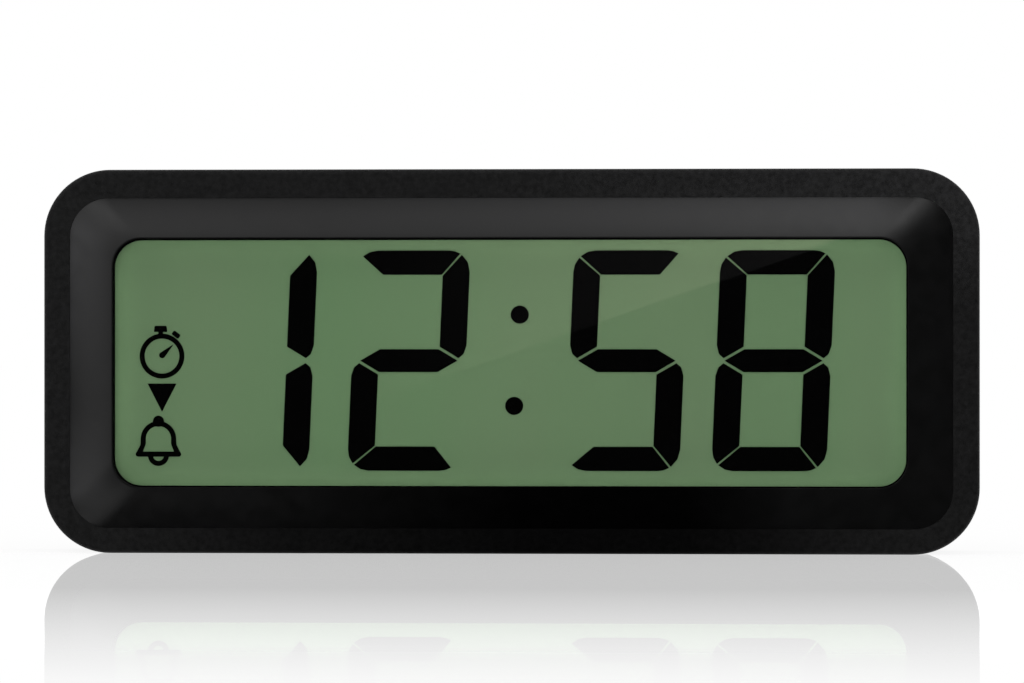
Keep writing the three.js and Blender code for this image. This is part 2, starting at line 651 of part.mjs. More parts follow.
// Display holder: a tray round the glass, with ears for its screws and stakes for the board.
function displayHolder() {
  const shape = roundedRect(0, WINDOW_Z, HOLDER_WIDTH, HOLDER_HEIGHT, HOLDER_CORNER);
  const body = slab(shape, POLARIZER_FRONT, HOLDER_BACK);
  const tray = slab(
    roundedRect(0, WINDOW_Z, DISPLAY_WIDTH + 2 * FIT, DISPLAY_HEIGHT + 2 * FIT, FIT),
    POLARIZER_FRONT - OVER,
    HOLDER_FRONT,
    1,
  );
  const slots = zebraPlaces.map((z) => {
    const halfX = ZEBRA_LENGTH / 2 + FIT;
    const halfZ = ZEBRA_THICKNESS / 2 + FIT;
    return block([-halfX, HOLDER_FRONT - OVER, z - halfZ], [halfX, HOLDER_BACK + OVER, z + halfZ]);
  });
  const stakes = stakePlaces.flatMap(([x, z]) => [
    rod(x, z, 2 * STAKE_RADIUS, HOLDER_BACK - OVER, BOARD_FRONT, 8),
    rod(x, z, STAKE_RADIUS, BOARD_FRONT - OVER, BOARD_BACK + OVER, 8),
    rod(x, z, 1.6 * STAKE_RADIUS, BOARD_BACK, BOARD_BACK + OVER, 8),
  ]);
  const ears = earPlaces.map(([side, z]) => {
    const near = HOLDER_WIDTH / 2 - 2 * EAR_THICKNESS;
    const far = HOLDER_WIDTH / 2 + EAR_REACH;
    const [left, right] = side > 0 ? [near, far] : [-far, -near];
    const ear = block(
      [left, POCKET_BACK + FIT, z - EAR_HEIGHT / 2],
      [right, POCKET_BACK + FIT + EAR_THICKNESS, z + EAR_HEIGHT / 2],
    );
    const root = block(
      [side > 0 ? near : -HOLDER_WIDTH / 2, HOLDER_BACK - OVER, z - EAR_HEIGHT / 2],
      [side > 0 ? HOLDER_WIDTH / 2 : -near, POCKET_BACK + FIT + EAR_THICKNESS, z + EAR_HEIGHT / 2],
    );
    const hole = rod(side * EAR_X, z, HOLDER_SCREW_SHANK + RUN, POCKET_BACK, POCKET_BACK + 3, 10);
    return cut(join(ear, root), hole);
  });
  return join(cut(body, tray, ...slots), ...stakes, ...ears);
}

function holderScrew(side, z) {
  const seat = POCKET_BACK + FIT + EAR_THICKNESS;
  return join(
    rod(side * EAR_X, z, HOLDER_SCREW_SHANK, BEZEL_SEAT + OVER, seat + OVER, 10),
    rod(side * EAR_X, z, HOLDER_SCREW_HEAD, seat, seat + HOLDER_SCREW_HEIGHT, 14),
  );
}

function mainBoard() {
  const board = slab(
    roundedRect(0, WINDOW_Z, BOARD_WIDTH, BOARD_HEIGHT, 1),
    BOARD_FRONT,
    BOARD_BACK,
    1,
  );
  const holes = stakePlaces.map(([x, z]) =>
    rod(x, z, STAKE_RADIUS + FIT, BOARD_FRONT - OVER, BOARD_BACK + OVER, 8),
  );
  return cut(board, ...holes);
}

// The potting compound over the chip: a low dome on the board.
const CHIP_ABOVE_WINDOW = 4; // from the middle of the window
const CHIP_PLACE = [0, WINDOW_Z + CHIP_ABOVE_WINDOW];
const CHIP_RADIUS = 7;
const CHIP_RISE = 1.6;
function chipCover() {
  const profile = [new THREE.Vector2(0, 0)];
  for (let i = 0; i <= 5; i++) {
    const angle = (i / 5) * (Math.PI / 2);
    profile.push(new THREE.Vector2(CHIP_RADIUS * Math.cos(angle), CHIP_RISE * Math.sin(angle)));
  }
  const dome = new THREE.LatheGeometry(profile, 24);
  return solidOf(dome.translate(CHIP_PLACE[0], BOARD_BACK, CHIP_PLACE[1]));
}

// The watch crystal: a small can that lies on the board.
const CRYSTAL_FROM_CHIP = [-21, -6];
const CRYSTAL_RADIUS = 1;
const CRYSTAL_LENGTH = 6.2;
function crystal() {
  const x = CHIP_PLACE[0] + CRYSTAL_FROM_CHIP[0];
  const z = CHIP_PLACE[1] + CRYSTAL_FROM_CHIP[1];
  return crossRod(x, x + CRYSTAL_LENGTH, BOARD_BACK + CRYSTAL_RADIUS, z, CRYSTAL_RADIUS, 12);
}

// The electrolytic capacitor: a can that lies on the board.
const CAPACITOR_FROM_CHIP = [-14.5, 8];
const CAPACITOR_RADIUS = 2;
const CAPACITOR_LENGTH = 7;
function capacitor() {
  const x = CHIP_PLACE[0] + CAPACITOR_FROM_CHIP[0];
  const z = CHIP_PLACE[1] + CAPACITOR_FROM_CHIP[1];
  const depth = BOARD_BACK + CAPACITOR_RADIUS;
  return crossRod(x, x + CAPACITOR_LENGTH, depth, z, CAPACITOR_RADIUS, 16);
}

function tactSwitch(x) {
  const half = TACT_SIZE / 2;
  const body = block(
    [x - half, BOARD_BACK, BUTTON_ROW_HEIGHT - half],
    [x + half, BOARD_BACK + TACT_HEIGHT, BUTTON_ROW_HEIGHT + half],
  );
  const top = BOARD_BACK + TACT_HEIGHT;
  return cut(body, rod(x, BUTTON_ROW_HEIGHT, TACT_PLUNGER_RADIUS + RUN, top - TACT_WELL, top + OVER));
}

function tactPlunger(x) {
  const bottom = BOARD_BACK + TACT_HEIGHT - TACT_WELL + BUTTON_TRAVEL + RUN;
  return rod(x, BUTTON_ROW_HEIGHT, TACT_PLUNGER_RADIUS, bottom, PLUNGER_TOP);
}

function buttonShape(x, margin) {
  const width = BUTTON_WIDTH + 2 * margin;
  const height = BUTTON_HEIGHT + 2 * margin;
  return roundedRect(x, BUTTON_ROW_HEIGHT, width, height, height / 2 - FIT);
}

// A button: a cap that stands out of the back, a flange that keeps it in, and a stem to its switch.
function button(x) {
  const flangeBack = BACK_INNER - FIT;
  const flangeFront = flangeBack - BUTTON_FLANGE_THICKNESS;
  return join(
    slab(buttonShape(x, 0), flangeFront, CASE_DEPTH + BUTTON_PROUD - OVER),
    slab(buttonShape(x, -OVER / 2), CASE_DEPTH, CASE_DEPTH + BUTTON_PROUD),
    slab(buttonShape(x, BUTTON_FLANGE), flangeFront, flangeBack),
    rod(x, BUTTON_ROW_HEIGHT, BUTTON_STEM_RADIUS, PLUNGER_TOP, flangeBack, 12),
  );
}

function modeSwitchBody() {
  const halfX = SWITCH_BODY_WIDTH / 2;
  const halfZ = SWITCH_BODY_HEIGHT / 2;
  const top = BOARD_BACK + SWITCH_BODY_DEPTH;
  const slotX = SWITCH_LEVER / 2 + SLIDER_TRAVEL + RUN;
  const slotZ = SWITCH_LEVER / 2 + RUN;
  return cut(
    block([SLIDER_X - halfX, BOARD_BACK, SLIDER_HEIGHT - halfZ], [SLIDER_X + halfX, top, SLIDER_HEIGHT + halfZ]),
    block(
      [SLIDER_X - slotX, top - SWITCH_SLOT_DEPTH, SLIDER_HEIGHT - slotZ],
      [SLIDER_X + slotX, top + OVER, SLIDER_HEIGHT + slotZ],
    ),
  );
}

function modeSwitchLever() {
  const half = SWITCH_LEVER / 2;
  const top = BOARD_BACK + SWITCH_BODY_DEPTH;
  return block(
    [SLIDER_X - half, top - SWITCH_SLOT_DEPTH + RUN, SLIDER_HEIGHT - half],
    [SLIDER_X + half, top + SWITCH_LEVER_RISE, SLIDER_HEIGHT + half],
  );
}

const SLIDER_FLANGE_BACK = BACK_INNER - FIT;
const SLIDER_FLANGE_FRONT = SLIDER_FLANGE_BACK - SLIDER_FLANGE_THICKNESS;
const SLIDER_FLANGE_WIDTH = SLIDER_KNOB_WIDTH + 4 * SLIDER_TRAVEL + 2;

// The mode slider: a knob in a slot, a flange that covers the slot, and a stem over the lever.
function modeSlider() {
  const at = (width, height, front, back) =>
    block(
      [SLIDER_X - width / 2, front, SLIDER_HEIGHT - height / 2],
      [SLIDER_X + width / 2, back, SLIDER_HEIGHT + height / 2],
    );
  const leverTop = BOARD_BACK + SWITCH_BODY_DEPTH + SWITCH_LEVER_RISE;
  const stemFront = leverTop - SWITCH_LEVER_RISE + OVER;
  const pocket = SWITCH_LEVER + 2 * FIT;
  const grooves = [-1, 0, 1].map((place) => {
    const x = SLIDER_X + place * SLIDER_GROOVE_PITCH;
    const half = SLIDER_GROOVE_PITCH / 4;
    const top = CASE_DEPTH + SLIDER_PROUD;
    return block(
      [x - half, top - SLIDER_GROOVE_DEPTH, SLIDER_HEIGHT - SLIDER_KNOB_HEIGHT],
      [x + half, top + OVER, SLIDER_HEIGHT + SLIDER_KNOB_HEIGHT],
    );
  });
  return cut(
    join(
      at(SLIDER_KNOB_WIDTH, SLIDER_KNOB_HEIGHT, SLIDER_FLANGE_FRONT, CASE_DEPTH + SLIDER_PROUD),
      at(SLIDER_FLANGE_WIDTH, SLIDER_FLANGE_HEIGHT, SLIDER_FLANGE_FRONT, SLIDER_FLANGE_BACK),
      at(SLIDER_STEM, SLIDER_STEM, stemFront, SLIDER_FLANGE_BACK),
    ),
    at(pocket, pocket, stemFront - OVER, leverTop + FIT),
    ...grooves,
  );
}

const CERAMIC_FRONT = BACK_INNER - SOUNDER_CHAMBER - SOUNDER_THICKNESS - CERAMIC_THICKNESS;
const DISC_FRONT = CERAMIC_FRONT + CERAMIC_THICKNESS;

function piezoDisc() {
  return rod(SOUNDER_X, SOUNDER_HEIGHT, SOUNDER_RADIUS, DISC_FRONT, DISC_FRONT + SOUNDER_THICKNESS, 24);
}

function piezoCeramic() {
  return rod(SOUNDER_X, SOUNDER_HEIGHT, CERAMIC_RADIUS, CERAMIC_FRONT, DISC_FRONT, 24);
}

// The ring inside the back that holds the sounder's disc in front of the sound holes.
function sounderRing() {
  const outer = SOUNDER_RADIUS + FIT + SOUNDER_RING_WALL;
  return cut(
    rod(SOUNDER_X, SOUNDER_HEIGHT, outer, CERAMIC_FRONT - OVER, BACK_INNER + OVER, 24),
    rod(SOUNDER_X, SOUNDER_HEIGHT, SOUNDER_RADIUS + FIT, CERAMIC_FRONT - 2 * OVER, DISC_FRONT + SOUNDER_THICKNESS, 24),
    rod(SOUNDER_X, SOUNDER_HEIGHT, SOUNDER_RADIUS - 1, DISC_FRONT, BACK_INNER, 24),
  );
}

function soundHoles() {
  const places = [[0, 0]];
  for (let i = 0; i < 6; i++) places.push([SOUND_HOLE_PITCH, (i * Math.PI) / 3]);
  for (let i = 0; i < 6; i++) places.push([Math.sqrt(3) * SOUND_HOLE_PITCH, ((i + 0.5) * Math.PI) / 3]);
  return places.map(([distance, angle]) => {
    const x = SOUNDER_X + distance * Math.cos(angle);
    const z = SOUNDER_HEIGHT + distance * Math.sin(angle);
    return rod(x, z, SOUND_HOLE_RADIUS, BACK_INNER - OVER, CASE_DEPTH + OVER, 8);
  });
}

// The stand's outline grown by a margin: straight beside the barrel, then tapering to the foot.
function standShape(margin, top) {
  const half = STAND_WIDTH / 2 + margin;
  const foot = STAND_FOOT_WIDTH / 2 + margin;
  const bottom = STAND_FOOT_HEIGHT - margin;
  const shoulder = STAND_PIVOT_HEIGHT - STAND_SHOULDER;
  const corner = STAND_FOOT_CORNER + margin;
  const shape = new THREE.Shape();
  shape.moveTo(half, top);
  shape.lineTo(-half, top);
  shape.lineTo(-half, shoulder);
  shape.lineTo(-foot, bottom + corner);
  shape.quadraticCurveTo(-foot, bottom, -foot + corner, bottom);
  shape.lineTo(foot - corner, bottom);
  shape.quadraticCurveTo(foot, bottom, foot, bottom + corner);
  shape.lineTo(half, shoulder);
  return shape;
}
const STAND_FOOT_HEIGHT = STAND_PIVOT_HEIGHT - STAND_LENGTH;
const STAND_RECESS_TOP = STAND_PIVOT_HEIGHT + STAND_THICKNESS / 2 + STAND_GAP;

// The pan behind the stand's recess, and the cutters that open the recess and its pin holes.
function standPan() {
  const half = STAND_WIDTH / 2 + STAND_GAP + STAND_PAN_WALL;
  return block(
    [-half, STAND_RECESS_BACK - STAND_FLOOR, STAND_FOOT_HEIGHT - STAND_GAP - STAND_PAN_WALL],
    [half, BACK_INNER + OVER, STAND_RECESS_TOP + STAND_PAN_WALL],
  );
}

function standRecess() {
  const recess = slab(standShape(STAND_GAP, STAND_RECESS_TOP), STAND_RECESS_BACK, CASE_DEPTH + OVER);
  const pin = STAND_PIN_LENGTH + STAND_PIN_CLEARANCE;
  const pinHoles = crossRod(
    -STAND_WIDTH / 2 - pin,
    STAND_WIDTH / 2 + pin,
    STAND_AXIS_DEPTH,
    STAND_PIVOT_HEIGHT,
    STAND_PIN_RADIUS + STAND_PIN_CLEARANCE,
    20,
  );
  const notch = rod(
    0,
    STAND_FOOT_HEIGHT,
    STAND_NOTCH_RADIUS,
    CASE_DEPTH - STAND_NOTCH_DEPTH,
    CASE_DEPTH + OVER,
    24,
  );
  return [recess, pinHoles, notch];
}

// The stand: a tapered leaf with a round barrel and a pin at each end of the barrel.
function stand() {
  const half = STAND_WIDTH / 2;
  const front = CASE_DEPTH - STAND_THICKNESS;
  const leaf = slab(standShape(0, STAND_PIVOT_HEIGHT), front, CASE_DEPTH);
  const thinning = solidOf(
    new THREE.BoxGeometry(2 * STAND_WIDTH, STAND_THICKNESS, STAND_LENGTH)
      .rotateX(Math.atan((STAND_THICKNESS - STAND_FOOT_THICKNESS) / (STAND_LENGTH - STAND_HEAD)))
      .translate(0, front - STAND_THICKNESS / 2, STAND_FOOT_HEIGHT + STAND_LENGTH / 2 - STAND_HEAD),
  );
  const grips = Array.from({ length: STAND_GRIP_RIBS }, (_, i) => {
    const z = STAND_FOOT_HEIGHT + STAND_GRIP_RISE + i * STAND_GRIP_PITCH;
    return block(
      [-STAND_GRIP_WIDTH / 2, CASE_DEPTH - STAND_GRIP_DEPTH, z],
      [STAND_GRIP_WIDTH / 2, CASE_DEPTH + OVER, z + STAND_GRIP_PITCH / 2],
    );
  });
  const barrel = crossRod(-half, half, STAND_AXIS_DEPTH, STAND_PIVOT_HEIGHT, STAND_THICKNESS / 2, 20);
  const pins = crossRod(
    -half - STAND_PIN_LENGTH,
    half + STAND_PIN_LENGTH,
    STAND_AXIS_DEPTH,
    STAND_PIVOT_HEIGHT,
    STAND_PIN_RADIUS,
    20,
  );
  return join(cut(leaf, thinning, ...grips), barrel, pins);
}

// The battery bay as a box inside the rear shell, and its cavity.
function bayBox() {
  const halfZ = BAY_HEIGHT / 2 + BAY_WALL;
  const pad = DOOR_OVERLAP + DOOR_GAP + BAY_WALL;
  const box = block(
    [BAY_LEFT - BAY_WALL, BAY_FLOOR_FRONT, BAY_CENTRE_HEIGHT - halfZ],
    [BAY_RIGHT + BAY_WALL, BACK_INNER + OVER, BAY_CENTRE_HEIGHT + halfZ],
  );
  const doorFrame = block(
    [BAY_LEFT - pad, DOOR_FRONT - BAY_WALL, BAY_CENTRE_HEIGHT - BAY_HEIGHT / 2 - pad],
    [BAY_RIGHT + pad, BACK_INNER + OVER, BAY_CENTRE_HEIGHT + BAY_HEIGHT / 2 + pad],
  );
  return join(box, doorFrame);
}

const contactX = [BAY_LEFT + FIT, BAY_RIGHT - FIT - CONTACT_THICKNESS];

function bayCavity() {
  const cavity = block(
    [BAY_LEFT, BAY_FLOOR_BACK, BAY_CENTRE_HEIGHT - BAY_HEIGHT / 2],
    [BAY_RIGHT, CASE_DEPTH + OVER, BAY_CENTRE_HEIGHT + BAY_HEIGHT / 2],
  );
  const doorSeat = slab(
    roundedRect(
      BAY_MIDDLE_X,
      BAY_CENTRE_HEIGHT,
      DOOR_WIDTH + 2 * DOOR_GAP,
      DOOR_HEIGHT + 2 * DOOR_GAP,
      DOOR_CORNER + DOOR_GAP,
    ),
    DOOR_FRONT,
    CASE_DEPTH + OVER,
  );
  const tabPockets = doorTabPlaces.map((x) => {
    const half = DOOR_TAB_WIDTH / 2 + DOOR_GAP;
    const reach = Math.hypot(DOOR_TAB_LENGTH, DOOR_TAB_LIP + DOOR_TAB_THICKNESS + FIT) + DOOR_GAP;
    return block(
      [x - half, CASE_DEPTH - reach, DOOR_BOTTOM - DOOR_TAB_LENGTH - DOOR_GAP],
      [x + half, CASE_DEPTH - DOOR_TAB_LIP, DOOR_BOTTOM + DOOR_TAB_LENGTH],
    );
  });
  const solderSlots = [-1, 1].map((row) => {
    const z = BAY_CENTRE_HEIGHT + (row * CELL_PITCH) / 2;
    return block(
      [contactX[0] - FIT, BAY_FLOOR_FRONT - OVER, z - TAB_WIDTH / 2 - FIT],
      [contactX[0] + CONTACT_THICKNESS + FIT, BAY_FLOOR_BACK + OVER, z + TAB_WIDTH / 2 + FIT],
    );
  });
  return [cavity, doorSeat, ...tabPockets, ...solderSlots];
}

function bayRib() {
  const rise = CELL_RADIUS / 2;
  return block(
    [BAY_LEFT + BAY_RIB_INSET, BAY_FLOOR_BACK - OVER, BAY_CENTRE_HEIGHT - BAY_RIB / 2],
    [BAY_RIGHT - BAY_RIB_INSET, BAY_FLOOR_BACK + rise, BAY_CENTRE_HEIGHT + BAY_RIB / 2],
  );
}

const doorTabPlaces = [BAY_LEFT + DOOR_TAB_INSET, BAY_RIGHT - DOOR_TAB_INSET];

// The battery door: a flat cover on two tabs, with a springy latch tongue at its top edge.
function batteryDoor() {
  const plate = slab(
    roundedRect(BAY_MIDDLE_X, BAY_CENTRE_HEIGHT, DOOR_WIDTH, DOOR_HEIGHT, DOOR_CORNER),
    DOOR_FRONT,
    CASE_DEPTH,
  );
  const tabs = doorTabPlaces.map((x) => {
    const back = CASE_DEPTH - DOOR_TAB_LIP - FIT;
    return block(
      [x - DOOR_TAB_WIDTH / 2, back - DOOR_TAB_THICKNESS, DOOR_BOTTOM - DOOR_TAB_LENGTH],
      [x + DOOR_TAB_WIDTH / 2, back, DOOR_BOTTOM + OVER],
    );
  });
  const slits = [-1, 1].map((side) => {
    const x = BAY_MIDDLE_X + (side * DOOR_LATCH_WIDTH) / 2;
    return block(
      [x - DOOR_LATCH_SLIT / 2, DOOR_FRONT - OVER, DOOR_TOP - DOOR_LATCH_LENGTH],
      [x + DOOR_LATCH_SLIT / 2, CASE_DEPTH + OVER, DOOR_TOP + OVER],
    );
  });
  const grips = Array.from({ length: DOOR_GRIP_RIBS }, (_, i) => {
    const z = DOOR_TOP - (i + 1) * DOOR_GRIP_PITCH;
    return block(
      [BAY_MIDDLE_X - DOOR_GRIP_WIDTH / 2, CASE_DEPTH - DOOR_GRIP_DEPTH, z - DOOR_GRIP_PITCH / 4],
      [BAY_MIDDLE_X + DOOR_GRIP_WIDTH / 2, CASE_DEPTH + OVER, z + DOOR_GRIP_PITCH / 4],
    );
  });
  return cut(join(plate, ...tabs), ...slits, ...grips);
}

// A shallow scoop above the door, for a fingertip at the latch.
function doorScoop() {
  return solidOf(
    new THREE.SphereGeometry(1, 20, 12)
      .scale(DOOR_SCOOP_WIDTH / 2, DOOR_SCOOP_DEPTH, DOOR_SCOOP_HEIGHT / 2)
      .translate(BAY_MIDDLE_X, CASE_DEPTH, DOOR_TOP + DOOR_GAP),
  );
}

// Rear shell: drafted and rounded, open at the front, with all that the back holds.
function rearShell() {
  const rounding = [0.25, 0.5, 0.75, 1].map((share) => {
    const angle = (share * Math.PI) / 2;
    const depth = CASE_DEPTH - BACK_ROUNDING * (1 - Math.sin(angle));
    const turn = 1 - Math.cos(angle);
    return caseRing(depth, DRAFT + BACK_ROUNDING * turn, BASE_ROUNDING * turn);
  });
  const seamBack = PARTING_DEPTH + SEAM_WIDTH;
  const outside = loft([
    caseRing(PARTING_DEPTH, SEAM_DEPTH),
    caseRing(seamBack, SEAM_DEPTH),
    caseRing(seamBack + FIT, 0),
    caseRing(CASE_DEPTH - BACK_ROUNDING, DRAFT, 0),
    ...rounding,
  ]);
  const inside = loft([
    caseRing(PARTING_DEPTH - OVER, WALL),
    caseRing(PARTING_DEPTH + SEAM_WIDTH, WALL),
    caseRing(CASE_DEPTH - BACK_ROUNDING, DRAFT + WALL, WALL),
    caseRing(BACK_INNER, DRAFT + WALL + BACK_ROUNDING / 3, WALL + BASE_ROUNDING / 3),
  ]);
  const lipOutset = WALL + FIT;
  const lip = cut(
    loft([
      caseRing(PARTING_DEPTH - LIP_LENGTH, lipOutset),
      caseRing(PARTING_DEPTH, lipOutset),
      caseRing(PARTING_DEPTH + FIT / 2, SEAM_DEPTH + WALL / 2),
      caseRing(PARTING_DEPTH + LIP_LENGTH, SEAM_DEPTH + WALL / 2),
    ]),
    loft([
      caseRing(PARTING_DEPTH - LIP_LENGTH - OVER, lipOutset + LIP_WALL),
      caseRing(PARTING_DEPTH + LIP_LENGTH + OVER, lipOutset + LIP_WALL),
    ]),
  );
  const seat = PARTING_DEPTH + SCREW_SEAT_RISE;
  const posts = postPlaces.map(([x, z]) =>
    rod(x, z, REAR_POST_RADIUS, PARTING_DEPTH + FIT, BACK_INNER + OVER, 20),
  );
  const screwRooms = postPlaces.flatMap(([x, z]) => [
    rod(x, z, SCREW_SHANK_RADIUS + SCREW_CLEARANCE, PARTING_DEPTH - OVER, seat + OVER),
    rod(x, z, SCREW_HEAD_RADIUS + SCREW_CLEARANCE, seat, CASE_DEPTH + OVER, 20),
  ]);
  const buttonHoles = buttonPlaces.map((x) =>
    slab(buttonShape(x, RUN), BACK_INNER - OVER, CASE_DEPTH + OVER),
  );
  const slotX = SLIDER_KNOB_WIDTH / 2 + SLIDER_TRAVEL + RUN;
  const slotZ = SLIDER_KNOB_HEIGHT / 2 + RUN;
  const sliderSlot = block(
    [SLIDER_X - slotX, BACK_INNER - OVER, SLIDER_HEIGHT - slotZ],
    [SLIDER_X + slotX, CASE_DEPTH + OVER, SLIDER_HEIGHT + slotZ],
  );
  const railX = SLIDER_FLANGE_WIDTH / 2 + SLIDER_TRAVEL;
  const rails = [-1, 1].map((side) => {
    const near = SLIDER_HEIGHT + side * (SLIDER_FLANGE_HEIGHT / 2 + RUN);
    const far = near + side;
    return block(
      [SLIDER_X - railX, SLIDER_FLANGE_FRONT, Math.min(near, far)],
      [SLIDER_X + railX, BACK_INNER + OVER, Math.max(near, far)],
    );
  });
  return cut(
    join(cut(outside, inside), lip, ...posts, ...rails, standPan(), bayBox(), sounderRing()),
    ...screwRooms,
    ...buttonHoles,
    sliderSlot,
    ...soundHoles(),
    ...standRecess(),
    ...bayCavity(),
    doorScoop(),
  ).add(bayRib());
}

function caseScrew(x, z) {
  const seat = PARTING_DEPTH + SCREW_SEAT_RISE;
  return join(
    rod(x, z, SCREW_SHANK_RADIUS, PARTING_DEPTH - SCREW_BITE, seat + OVER),
    rod(x, z, SCREW_HEAD_RADIUS, seat, seat + SCREW_HEAD_HEIGHT, 20),
  );
}

// One cell, with its positive tip towards -X (side -1) or +X (side 1).
const CELL_LEFT = BAY_LEFT + FIT + CONTACT_THICKNESS + FIT;
function cell(side) {
  const shoulder = CELL_LENGTH - CELL_TIP_LENGTH;
  const profile = [
    [0, 0],
    [CELL_END_RADIUS, 0],
    [CELL_END_RADIUS, CELL_END_ROUNDING / 2],
    [CELL_RADIUS, CELL_END_ROUNDING],
    [CELL_RADIUS, shoulder - CELL_SHOULDER],
    [CELL_RADIUS - CELL_SHOULDER / 2, shoulder - CELL_SHOULDER / 5],
    [CELL_RADIUS - CELL_SHOULDER, shoulder],
    [CELL_TIP_RADIUS, shoulder],
    [CELL_TIP_RADIUS, CELL_LENGTH - CELL_TIP_LENGTH / 5],
    [CELL_TIP_RADIUS - CELL_TIP_LENGTH / 3, CELL_LENGTH],
    [0, CELL_LENGTH],
  ].map(([radius, along]) => new THREE.Vector2(radius, along));
  const geometry = new THREE.LatheGeometry(profile, 20);
  if (side < 0) geometry.rotateZ(Math.PI / 2).translate(CELL_LEFT + CELL_LENGTH, 0, 0);
  else geometry.rotateZ(-Math.PI / 2).translate(CELL_LEFT + SPRING_ROOM, 0, 0);
  const z = BAY_CENTRE_HEIGHT - (side * CELL_PITCH) / 2;
  return solidOf(geometry.translate(0, CELL_DEPTH, z));
}

// A conical coil spring along X, from its plate at startX to the cell's flat end.
function spring(startX, towards, z) {
  const steps = SPRING_TURNS * 10;
  const reach = SPRING_ROOM - SPRING_WIRE - FIT;
  const points = Array.from({ length: steps + 1 }, (_, i) => {
    const share = i / steps;
    const angle = share * SPRING_TURNS * 2 * Math.PI;
    const radius = SPRING_BASE_RADIUS + (SPRING_TOP_RADIUS - SPRING_BASE_RADIUS) * share;
    return [
      startX + towards * reach * share,
      CELL_DEPTH + radius * Math.cos(angle),
      z + radius * Math.sin(angle),
    ];
  });
  return tube(points, SPRING_WIRE, steps, 5);
}

function contactPlate(left, bottom, top) {
  return block([left, BAY_FLOOR_BACK + OVER / 2, bottom], [left + CONTACT_THICKNESS, DOOR_FRONT - OVER, top]);
}

function solderTab(z) {
  return block(
    [contactX[0], BAY_FLOOR_FRONT - TAB_REACH, z - TAB_WIDTH / 2],
    [contactX[0] + CONTACT_THICKNESS, BAY_FLOOR_BACK + OVER, z + TAB_WIDTH / 2],
  );
}

const UPPER_CELL_Z = BAY_CENTRE_HEIGHT + CELL_PITCH / 2;
const LOWER_CELL_Z = BAY_CENTRE_HEIGHT - CELL_PITCH / 2;
const BAY_TOP = BAY_CENTRE_HEIGHT + BAY_HEIGHT / 2;
const BAY_BOTTOM = BAY_CENTRE_HEIGHT - BAY_HEIGHT / 2;

function contactBridge() {
  const plate = contactPlate(contactX[1], BAY_BOTTOM + CONTACT_MARGIN, BAY_TOP - CONTACT_MARGIN);
  return join(plate, spring(contactX[1], -1, UPPER_CELL_Z));
}

function contactPositive() {
  const plate = contactPlate(contactX[0], BAY_CENTRE_HEIGHT + CONTACT_MARGIN, BAY_TOP - CONTACT_MARGIN);
  return join(plate, solderTab(UPPER_CELL_Z));
}

function contactNegative() {
  const plate = contactPlate(contactX[0], BAY_BOTTOM + CONTACT_MARGIN, BAY_CENTRE_HEIGHT - CONTACT_MARGIN);
  const coil = spring(contactX[0] + CONTACT_THICKNESS, 1, LOWER_CELL_Z);
  return join(plate, solderTab(LOWER_CELL_Z), coil);
}

// A thin lead that leaves its pad on the board straight back and comes to its far end from one side.
function lead([x, z], farEnd, approach) {
  const pad = BOARD_BACK + FIT;
  const rise = 2 * LEAD_RADIUS;
  const turn = farEnd.map((place, axis) => place - approach[axis]);
  const middle = [(x + turn[0]) / 2, (pad + rise + turn[1]) / 2, (z + turn[2]) / 2 - rise];
  return tube([[x, pad, z], [x, pad + rise, z], middle, turn, farEnd], LEAD_RADIUS, 24, 6);
}

const buttonPlaces = Array.from({ length: BUTTON_COUNT }, (_, i) => BUTTON_FIRST_X + i * BUTTON_PITCH);

// Materials: colour, roughness and metalness, and opacity where a piece is clear
function material(color, roughness, metalness = 0, opacity = 1) {
  return new THREE.MeshStandardMaterial({
    color,
    roughness,
    metalness,
    opacity,
    transparent: opacity < 1,
  });
}
const finishes = {
  texturedBlack: () => material(0x1b1b1d, 0.75),
  satinBlack: () => material(0x222224, 0.4),
  blackRubber: () => material(0x101011, 0.85),
  clearPlastic: () => material(0xf2f5f2, 0.05, 0, 0.15),
  clearGlass: () => material(0xe8efe8, 0.03, 0, 0.15),
  displayGround: () => material(0x5f7858, 0.55),
  displayDark: () => material(0x060706, 0.3),
  whitePlastic: () => material(0xd9d9d4, 0.5),
  boardGreen: () => material(0x1f5a35, 0.45),
  steel: () => material(0xb9bcc0, 0.35, 1),
  brass: () => material(0xc9a24a, 0.35, 1),
  ceramic: () => material(0xe9e6da, 0.6),
  cellSleeve: () => material(0x3c5f7a, 0.35),
  redWire: () => material(0xb3261e, 0.5),
  blackWire: () => material(0x161616, 0.5),
};

function piece(name, solid, finish) {
  const mesh = new THREE.Mesh(geometryOf(solid), finish());
  mesh.name = name;
  return mesh;
}

function caseParts() {
  const group = new THREE.Group();
  group.add(
    piece("front_shell", frontShell(), finishes.texturedBlack),
    piece("bezel_insert", bezelInsert(), finishes.satinBlack),
    piece("rear_shell", rearShell(), finishes.texturedBlack),
    piece("battery_door", batteryDoor(), finishes.texturedBlack),
    piece("stand", stand(), finishes.texturedBlack),
  );
  postPlaces.forEach(([x, z], i) => {
    group.add(piece("case_screw_" + (i + 1), caseScrew(x, z), finishes.steel));
  });
  return group;
}

